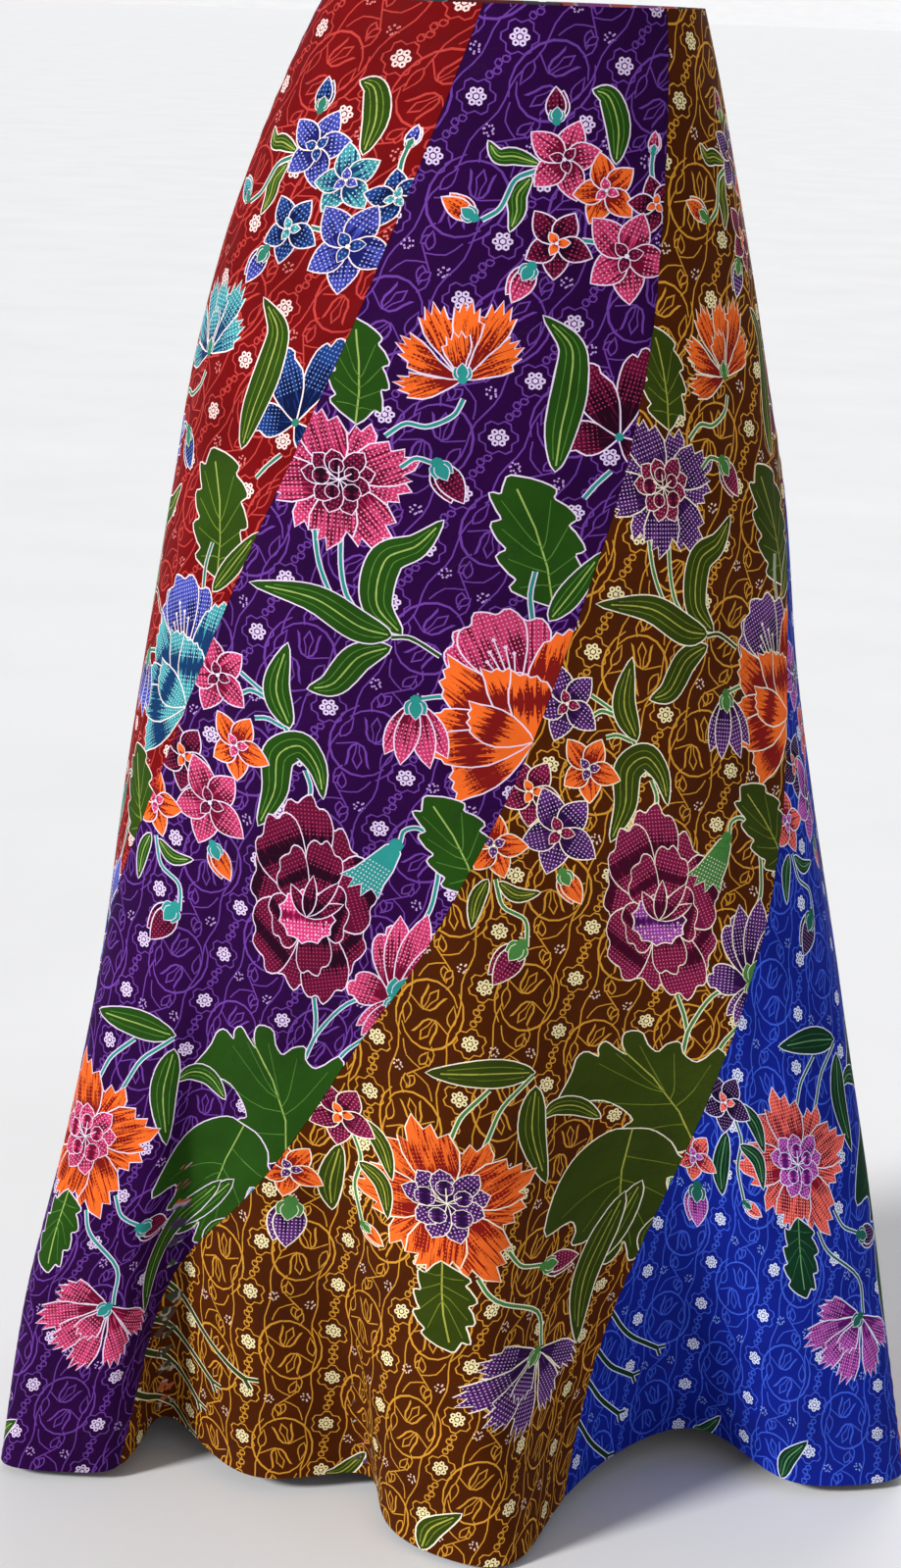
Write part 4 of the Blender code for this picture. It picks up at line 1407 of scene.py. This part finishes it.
def batik_inside(name, colours):
    """The back of the cloth, where the dyes show through paler and softer."""
    material, tree, finish = new_material(name)
    place = cloth_place(tree)
    wander = add_node(tree, "ShaderNodeTexNoise", (), Vector=place, Scale=75.0, Detail=1.0).outputs["Color"]
    ruffle = add_node(tree, "ShaderNodeVectorMath", {"operation": "SCALE"}, i0=wander, Scale=0.35).outputs[0]

    def spots(scale, lean, chance):
        """Distance from scattered places, in shares of their spacing."""
        turned_place = add_node(tree, "ShaderNodeMapping", (), Vector=place, Location=ruffle,
                                Rotation=(0, 0, lean), Scale=scale).outputs[0]
        return add_node(tree, "ShaderNodeTexVoronoi", {"voronoi_dimensions": "2D"}, Vector=turned_place,
                        Scale=1.0, Randomness=chance).outputs["Distance"]

    curls = maths(tree, "ABSOLUTE", maths(tree, "SUBTRACT", noise(tree, place, 42.0, 0.0), 0.5))
    chains = spots((35, 26, 1), 0.3, 0.1)
    leaves = spots((34, 12, 1), 0.6, 0.9)
    blooms = spots((12, 12, 1), 0.0, 0.8)
    layers = (
        (curls, 0.016, "line"), (chains, 0.12, "cream"), (leaves, 0.27, "wax"), (leaves, 0.23, "leaf"),
        (blooms, 0.34, "wax"), (blooms, 0.315, "flame"), (blooms, 0.17, "wax"), (blooms, 0.15, "rose"),
    )
    colour = (*(dye(colours, "ground") * 0.8 + 0.02), 1)
    for distance, edge, tone in layers:
        within = between(tree, distance, edge + 0.012, edge - 0.012)
        colour = mix_colour(tree, within, colour, (*(dye(colours, tone) * 0.45 + 0.02), 1))
    fill(tree, finish, {
        "Base Color": colour, "Normal": bump(tree, weave(tree, place, THREAD), *THREAD_BUMP),
        "Roughness": 0.8, "Specular IOR Level": 0.25, "Sheen Weight": 0.12,
    })
    return material


batik_outside = batik("batik cotton")
print("batik made of", len(batik_outside.node_tree.nodes), "nodes")

# %% [markdown]
# ## Making a gore
#
# A gore is one closed sheet: an outer face cut along the print, an inner face, and a narrow rim
# that joins them. The flat sheet bends onto the form by the share of the way between its two
# seams, measured along the cloth so that the print keeps its proportions. Near a seam the cloth
# dips where it turns in to be sewn, and the stitches pull it into small puckers. The mesh takes
# the cut's own points, because its edges are the outlines of the print.

# %% Where a point of the flat sheet goes
ROW = LENGTH / 26
ZIP_SEAM = "seam_4"
SLIT_HALF = 0.0025     # half of the opening that shows the zip
THICK = 0.0013
INSET = 0.0001         # the print's face lies this far inside the plain model's

seam_rows = np.linspace(0, LENGTH, 198)


def half_gap(seam, drop):
    if seam != ZIP_SEAM:
        return np.full_like(drop, SEAM_GAP / 2)
    closing = np.clip((drop - 5 * ROW) / ROW, 0, 1)
    return SLIT_HALF + (SEAM_GAP / 2 - SLIT_HALF) * closing


def make_turns(left, right):
    """For each row, the turn at each share of the way across, and the row's width."""
    left_turn, right_turn = seam_turn(left, seam_rows), seam_turn(right, seam_rows)
    right_turn = np.where(right_turn < left_turn, right_turn + 360, right_turn)
    shares = np.linspace(0, 1, 201)
    turns = left_turn[:, None] + (right_turn - left_turn)[:, None] * shares
    drops = np.broadcast_to(seam_rows[:, None], turns.shape)
    steps = np.linalg.norm(np.diff(cloth_form(turns, drops), axis=1), axis=2)
    run = np.concatenate([np.zeros((len(steps), 1)), np.cumsum(steps, 1)], 1)
    table = np.empty_like(turns)
    for i in range(len(run)):
        wide = run[i, -1]
        low, high = half_gap(left, seam_rows[i:i + 1])[0], half_gap(right, seam_rows[i:i + 1])[0]
        table[i] = np.interp(low + (wide - low - high) * shares, run[i], turns[i])
    return table, run[:, -1]


def read_table(table, share, drop):
    """Values between a table's rows and columns."""
    row = np.clip(drop / LENGTH * (table.shape[0] - 1), 0, table.shape[0] - 1 - 1e-9)
    column = np.clip(share * (table.shape[1] - 1), 0, table.shape[1] - 1 - 1e-9)
    i, j = row.astype(int), column.astype(int)
    u, v = row - i, column - j
    upper = table[i, j] * (1 - v) + table[i, j + 1] * v
    lower = table[i + 1, j] * (1 - v) + table[i + 1, j + 1] * v
    return upper * (1 - u) + lower * u


def seam_dip(aside, drop):
    """How far the cloth dips beside a seam, with its puckers. aside is metres from the seam."""
    dip = 0.0007 * np.exp(-((aside / 0.0022) ** 2))
    wave = np.sin(drop * 2 * np.pi / 0.017 + 2 * np.sin(drop * 40))
    return dip + 0.00030 * np.exp(-((aside / 0.008) ** 2)) * wave


def place_sheet(table, width, share, drop):
    turn = read_table(table, share, drop)
    wide = np.interp(drop, seam_rows, width)
    out = facing_of(cloth, turn, drop, 0.8, 0.005)
    aside = np.minimum(share, 1 - share) * wide
    hem = 0.0004 * np.exp(-(((LENGTH - 0.011 - drop) / 0.0016) ** 2))
    sunk = INSET + seam_dip(aside, drop) + hem
    return cloth(turn, drop) - out * sunk[:, None], out, wide


table, width = make_turns("seam_1", "seam_2")
print("the purple gore is", round(width[0], 3), "m wide at the waist,", round(width[-1], 3), "m at the hem")

# %% Draw and cut two cloths
# the brown gore is much wider than the others at the hem, so its repeat is drawn for that width
brown_width = make_turns(*GORES["gore_brown"][:2])[1] * 1000
brown_spread = np.interp(chart_rows, seam_rows * 1000, brown_width) / chart_width
print("the brown gore is", brown_spread.min().round(2), "to", brown_spread.max().round(2),
      "times the chart's width")
cuts = {"plain": draw_and_cut(np.ones_like(chart_rows)), "wide": draw_and_cut(brown_spread)}

# %% The rim and the inner face
Back = namedtuple("Back", "rim points faces of_rim chart")
INNER_CUTS = (np.linspace(2.5, SHEET - 2.5, 68), np.linspace(6, CHART_LENGTH - 6, 60))


def back_of(cut):
    """The rim's points in order, and an inner face that ends at them."""
    pairs = np.sort(np.concatenate([cut.faces[:, [0, 1]], cut.faces[:, [1, 2]], cut.faces[:, [2, 0]]]), 1)
    pairs, counts = np.unique(pairs, axis=0, return_counts=True)
    rim_ids = np.unique(pairs[counts == 1])
    x, y = cut.points[rim_ids].T
    # once round, starting at the top left corner
    way = np.where(y < 1e-6, x, np.where(x > SHEET - 1e-6, SHEET + y, np.where(
        y > CHART_LENGTH - 1e-6, SHEET * 2 + CHART_LENGTH - x, SHEET * 2 + CHART_LENGTH * 2 - y)))
    rim_ids = rim_ids[np.argsort(way)]
    rim = cut.points[rim_ids]
    grid = np.stack(np.meshgrid(*INNER_CUTS), -1).reshape(-1, 2)
    given = [Vector(point) for point in np.concatenate([rim, grid]).tolist()]
    edges = [(i, (i + 1) % len(rim)) for i in range(len(rim))]
    found, _, faces, sources, _, _ = delaunay_2d_cdt(given, edges, [], 1, 1e-6)
    of_rim = np.full(len(rim), -1)
    for new, olds in enumerate(sources):
        for old in olds:
            if old < len(rim):
                of_rim[old] = new
    across, wide = across_at(cut.points[:, 1])
    chart = np.stack([across + (cut.points[:, 0] / SHEET - 0.5) * wide, cut.points[:, 1]], -1)
    found, faces = np.array([tuple(p) for p in found]), np.array([tuple(face) for face in faces])
    return Back(rim_ids, found, faces, of_rim, chart)


backs = {name: back_of(cut) for name, cut in cuts.items()}
print({name: (len(back.rim), len(back.faces)) for name, back in backs.items()}, "rim points and inner faces")

# %% Build the mesh


def wound(faces, flat_points):
    """Faces wound clockwise on the flat sheet, whose down axis points to the hem."""
    a, b, c = (flat_points[faces[:, i]] for i in range(3))
    area = (b[:, 0] - a[:, 0]) * (c[:, 1] - a[:, 1]) - (b[:, 1] - a[:, 1]) * (c[:, 0] - a[:, 0])
    faces = faces.copy()
    faces[area > 0] = faces[area > 0][:, ::-1]
    return faces


def all_faces(cut, rear):
    """Outer faces, inner faces and the rim between them. The inner points come after the outer."""
    first = len(cut.points)
    outer = wound(cut.faces, cut.points)
    inner = wound(rear.faces, rear.points)[:, ::-1] + first
    this, after = rear.rim, np.roll(rear.rim, -1)
    this_back, after_back = rear.of_rim + first, np.roll(rear.of_rim, -1) + first
    rim = [np.stack([this, after, after_back], -1), np.stack([this, after_back, this_back], -1)]
    return outer, inner, np.concatenate(rim)


def store_dyes(mesh, cut, colours, corner_shape):
    """Store at each corner the dyes of its shape. The last row of each table is bare ground."""
    for layer in ("tone", "streak", "spark"):
        names = [getattr(shape, layer) for shape in cut.shapes] + ["ground"]
        found = {name: dye(colours, name) for name in set(names)}
        values = np.ones((len(corner_shape), 4), np.float32)
        values[:, :3] = np.array([found[name] for name in names])[corner_shape]
        mesh.color_attributes.new(layer, "BYTE_COLOR", "CORNER").data.foreach_set("color", values.ravel())


def store_petals(mesh, cut, chart, corner_point, corner_shape):
    """Store at each corner how far along its petal it is, how far aside, and the streaks' reach."""
    base, along, reach = (np.array([shape[i] for shape in cut.shapes]) for i in (4, 5, 6))
    away = chart[corner_point] - np.append(base, [[0, 0]], 0)[corner_shape]
    along = np.append(along, [[0, 1]], 0)[corner_shape]
    values = np.zeros((len(corner_point), 3), np.float32)
    values[:, 0] = (away * along).sum(1)
    values[:, 1] = away[:, 0] * along[:, 1] - away[:, 1] * along[:, 0]
    values[:, 2] = np.append(reach, 0)[corner_shape]
    mesh.attributes.new("petal", "FLOAT_VECTOR", "CORNER").data.foreach_set("vector", values.ravel())


def make_gore(name):
    left, right, colourway = GORES[name]
    table, width = make_turns(left, right)
    kind = "wide" if name == "gore_brown" else "plain"
    cut, rear = cuts[kind], backs[kind]
    share = np.concatenate([cut.points[:, 0], rear.points[:, 0]]) / SHEET
    down = np.concatenate([cut.points[:, 1], rear.points[:, 1]]) / 1000
    points, out, wide = place_sheet(table, width, share, down)
    first = len(cut.points)
    points[first:] -= out[first:] * THICK
    out[first:] *= -1

    outer, inner, rim = all_faces(cut, rear)
    faces = np.concatenate([outer, inner, rim])
    mesh = bpy.data.meshes.new(name + "_cloth")
    mesh.from_pydata(points.tolist(), [], faces.tolist())
    mesh.polygons.foreach_set("material_index", np.repeat([0, 1, 0], [len(outer), len(inner), len(rim)]))

    corner_point = faces.ravel()
    corner_shape = np.repeat(np.append(cut.owner, np.full(len(inner) + len(rim), -1)), 3)
    chart = np.zeros((len(points), 2))
    chart[:first] = rear.chart
    store_dyes(mesh, cut, DYES[colourway], corner_shape)
    store_petals(mesh, cut, chart, corner_point, corner_shape)
    shift = 1.7 * list(GORES).index(name)     # so that no two gores have the same clouds
    uv = np.stack([(share - 0.5) * wide + shift, down], -1)[corner_point].astype(np.float32)
    mesh.uv_layers.new(name="cloth").data.foreach_set("uv", uv.ravel())

    piece = bpy.data.objects.new(name + "_cloth", mesh)
    bpy.context.scene.collection.objects.link(piece)
    mesh.materials.append(batik_outside)
    mesh.materials.append(batik_inside(colourway + " inside of " + name, DYES[colourway]))
    mesh.polygons.foreach_set("use_smooth", np.ones(len(faces), bool))
    mesh.normals_split_custom_set_from_vertices(out.tolist())
    mesh.update()

    a, b, c = (points[outer[:, i]] for i in range(3))
    area = float(np.linalg.norm(np.cross(b - a, c - a), axis=1).sum() / 2)
    middle = cloth_form(read_table(table, np.full_like(seam_rows, 0.5), seam_rows), seam_rows)
    long = float(np.linalg.norm(np.diff(middle, axis=0), axis=1).sum())
    print(name, len(faces), "triangles, area", round(area, 4), "m2, hem", round(width[-1], 3),
          "m, length", round(long, 3))
    return piece, float(width.max()), long, area


# %% Make the six gores
for name in GORES:
    piece, wide, long, area = make_gore(name)
    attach(piece, "skirt")
    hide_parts(name)

# %% [markdown]
# ## The zip
#
# The zip sits behind its seam at the back: a woven tape, moulded teeth, a brass slider and its pull
# tab. The tape and teeth get new pieces with real detail. The slider and tab are already the right
# shape, so they keep their solids and get brass.

# %% Tape
TAPE_WIDTH = 0.024
TAPE_BACK = WALL + 0.0005      # behind the cloth's outer face
TAPE_DROP = 6 * ROW
TAPE_END = 0.0002              # left free at each end
RIB = (0.00010, 0.0030)        # height, and from rib to rib


def zip_frame(drop):
    """Direction across, direction out, and metres for a degree, at the zip's seam."""
    turn = seam_turn(ZIP_SEAM, drop)
    degree = cloth_form(turn + 0.5, drop) - cloth_form(turn - 0.5, drop)
    per_degree = np.linalg.norm(degree, axis=1)
    return degree / per_degree[:, None], facing_of(cloth_form, turn, drop, 3.0, 0.015), per_degree


def zip_point(aside, drop, behind):
    """A place beside the zip's seam, so far behind the cloth's outer face."""
    turn = seam_turn(ZIP_SEAM, drop) + aside / zip_frame(drop)[2]
    out = facing_of(cloth_form, turn, drop, 3.0, 0.015)
    return cloth_form(turn, drop) - out * behind[:, None]


def finish_piece(name, mesh_data, material, node):
    mesh = bpy.data.meshes.new(name)
    mesh_data.to_mesh(mesh)
    mesh_data.free()
    mesh.materials.append(material)
    piece = bpy.data.objects.new(name, mesh)
    bpy.context.scene.collection.objects.link(piece)
    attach(piece, "skirt")
    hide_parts(node)
    print(name, len(mesh.polygons), "faces")
    return piece


tape = bmesh.new()
tape_map = tape.loops.layers.uv.new("cloth")
bmesh.ops.create_grid(tape, x_segments=24, y_segments=120, size=0.5)
for vertex in tape.verts:
    vertex.co.x *= TAPE_WIDTH
    vertex.co.y = (vertex.co.y + 0.5) * (TAPE_DROP - 2 * TAPE_END) + TAPE_END
for face in tape.faces:
    for loop in face.loops:
        loop[tape_map].uv = loop.vert.co.xy
spots = np.array([vertex.co[:] for vertex in tape.verts])
ribs = RIB[0] * np.cos(spots[:, 0] * 2 * np.pi / RIB[1])
placed = zip_point(spots[:, 0], spots[:, 1], TAPE_BACK - ribs + 0.0001)
for vertex, point in zip(tape.verts, placed):
    vertex.co = point
bmesh.ops.recalc_face_normals(tape, faces=tape.faces)
facing = Vector(zip_frame(np.array([0.1]))[1][0])
if sum((face.normal for face in tape.faces), Vector()).dot(facing) < 0:
    bmesh.ops.reverse_faces(tape, faces=tape.faces)
bmesh.ops.solidify(tape, geom=tape.faces, thickness=0.0006)

material, tree, finish = new_material("zip tape")
place = cloth_place(tree)
shade = between(tree, noise(tree, place, 900.0), 0.3, 0.7)
fill(tree, finish, {
    "Base Color": mix_colour(tree, shade, (0.012, 0.012, 0.016, 1), (0.035, 0.033, 0.042, 1)),
    "Normal": bump(tree, weave(tree, place, 0.0008), 0.5, 0.00015), "Roughness": 0.75, "Sheen Weight": 0.2,
})
tape_piece = finish_piece("zip_tape_woven", tape, material, "zip_tape")
for polygon in tape_piece.data.polygons:
    polygon.use_smooth = True

# %% Teeth
TOOTH_STEP = 0.0016
TOOTH_BACK = TAPE_BACK - 0.0013
TEETH_TOP = 0.0010
TEETH_DROP = 5 * ROW - 0.0010
TOOTH_SIZE = (0.0021, 0.0010, 0.0009)
TOOTH_ASIDE = 0.0008           # from the middle of the chain
teeth = bmesh.new()
drops = TEETH_TOP + np.arange(int(TEETH_DROP / TOOTH_STEP)) * TOOTH_STEP
for side in (-1, 1):
    down = drops + (TOOTH_STEP / 2 if side > 0 else 0)
    down = down[down < TEETH_DROP]
    places = zip_point(np.full(len(down), side * TOOTH_ASIDE), down, np.full(len(down), TOOTH_BACK))
    across, out, _ = zip_frame(down)
    for place, way, face in zip(places, across, out):
        made = bmesh.ops.create_cube(teeth, size=1.0)["verts"]
        bmesh.ops.scale(teeth, vec=TOOTH_SIZE, verts=made)
        head = [vertex for vertex in made if vertex.co.x * side < 0]
        bmesh.ops.scale(teeth, vec=(1, 0.7, 0.8), verts=head)
        x_axis, z_axis = Vector(way), Vector(face)
        y_axis = z_axis.cross(x_axis)
        turn = Matrix((x_axis, y_axis, z_axis)).transposed().to_4x4()
        bmesh.ops.transform(teeth, matrix=Matrix.Translation(place) @ turn, verts=made)
bmesh.ops.bevel(teeth, geom=list(teeth.edges), offset=0.00018, offset_type="OFFSET", affect="EDGES",
                segments=1, profile=0.5, material=-1)

material, tree, finish = new_material("zip teeth")
place = add_node(tree, "ShaderNodeTexCoord").outputs["Object"]
fleck = noise(tree, place, 1500.0, 1.0)
fill(tree, finish, {
    "Base Color": mix_colour(tree, fleck, (0.02, 0.02, 0.025, 1), (0.05, 0.05, 0.06, 1)),
    "Roughness": between(tree, fleck, 0.3, 0.7, 0.28, 0.45),
})
finish_piece("zip_teeth_row", teeth, material, "zip_chain")

# %% Brass for the slider and the pull tab
material, tree, finish = new_material("old brass")
place = add_node(tree, "ShaderNodeTexCoord").outputs["Object"]
worn = noise(tree, place, 260.0, 5.0, 0.6)
shade = between(tree, worn, 0.35, 0.65)
fill(tree, finish, {
    "Base Color": mix_colour(tree, shade, (0.26, 0.17, 0.07, 1), (0.62, 0.46, 0.22, 1)),
    "Roughness": between(tree, worn, 0.3, 0.7, 0.42, 0.24), "Metallic": 1.0,
    "Normal": bump(tree, noise(tree, place, 1800.0), 0.15, 0.0001),
})
for node in ("zip_slider", "zip_pull"):
    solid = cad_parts[node]
    for slot in solid.material_slots:
        slot.material = material
    print(node, "is brass")

# %% [markdown]
# ## Floor, light and camera
#
# The skirt hangs just above a pale floor, as on a wearer. Three lights far off, a key light from
# the upper left in front, a weak one from the right in front and one from behind, and a pale
# surrounding give the even light of a studio photograph. The camera stands at waist height and
# looks down a little, so it sees the folds of the hem from above.

# %% Floor
floor_height = plain_box[0][2] - 0.004
ground = bmesh.new()
bmesh.ops.create_circle(ground, cap_ends=True, segments=96, radius=60.0)
# its far edge rises, so that the floor fills the view to the top
far = bmesh.ops.extrude_edge_only(ground, edges=[edge for edge in ground.edges if edge.is_boundary])["geom"]
far = [part for part in far if isinstance(part, bmesh.types.BMVert)]
bmesh.ops.scale(ground, vec=(1.5, 1.5, 1.0), verts=far)
bmesh.ops.translate(ground, vec=(0, 0, 8.0), verts=far)
bmesh.ops.recalc_face_normals(ground, faces=ground.faces)
if max(ground.faces, key=lambda face: face.calc_area()).normal.z < 0:
    bmesh.ops.reverse_faces(ground, faces=ground.faces)
bmesh.ops.translate(ground, vec=(0, 0, floor_height), verts=ground.verts)
mesh = bpy.data.meshes.new("floor")
ground.to_mesh(mesh)
ground.free()
material, tree, finish = new_material("pale floor")
place = add_node(tree, "ShaderNodeTexCoord").outputs["Object"]
shade = between(tree, noise(tree, place, 3.0, 3.0), 0.3, 0.7)
colour = mix_colour(tree, shade, (0.86, 0.86, 0.86, 1), (0.90, 0.90, 0.90, 1))
fill(tree, finish, {"Base Color": colour, "Roughness": 0.9})
mesh.materials.append(material)
floor = bpy.data.objects.new("floor", mesh)
bpy.context.scene.collection.objects.link(floor)
print("floor at", round(floor_height, 4))

# %% Lights


def far_light(name, way, power, softness):
    """A light far off, so that the floor is as bright everywhere. softness is its width in degrees."""
    data = bpy.data.lights.new(name, "SUN")
    data.energy = power
    data.angle = math.radians(softness)
    lamp = bpy.data.objects.new(name, data)
    bpy.context.scene.collection.objects.link(lamp)
    lamp.rotation_euler = Vector(way).to_track_quat("-Z", "Y").to_euler()


far_light("key", (0.86, 0.56, -0.58), 3.0, 10)
far_light("fill", (-0.75, 0.60, -0.35), 0.25, 60)
far_light("back", (-0.20, -0.80, -0.60), 0.9, 40)

world = bpy.data.worlds.new("pale room")
world.use_nodes = True
fill(world.node_tree, world.node_tree.nodes["Background"], {"Color": (0.95, 0.96, 1.0, 1), "Strength": 0.33})
bpy.context.scene.world = world
print("three broad lights from afar")

# %% Camera
FOCAL_PIXELS = 2856
PHOTO_HEIGHT = 1599
SENSOR = 36.0
TILT = 16.29      # degrees down
ROLL = 2.0
EYE = (-0.015, -1.75, 0.02)

view = bpy.data.cameras.new("camera")
view.sensor_fit = "VERTICAL"
view.sensor_height = SENSOR
view.sensor_width = SENSOR
view.lens = FOCAL_PIXELS / PHOTO_HEIGHT * SENSOR
eye = bpy.data.objects.new("camera", view)
bpy.context.scene.collection.objects.link(eye)
look = Matrix.Rotation(math.radians(90 - TILT), 4, "X") @ Matrix.Rotation(math.radians(ROLL), 4, "Z")
eye.matrix_world = Matrix.Translation(EYE) @ look
bpy.context.scene.camera = eye
bpy.context.scene.view_settings.view_transform = "Standard"
print("camera", [round(value, 3) for value in eye.location], "lens", round(view.lens, 1))
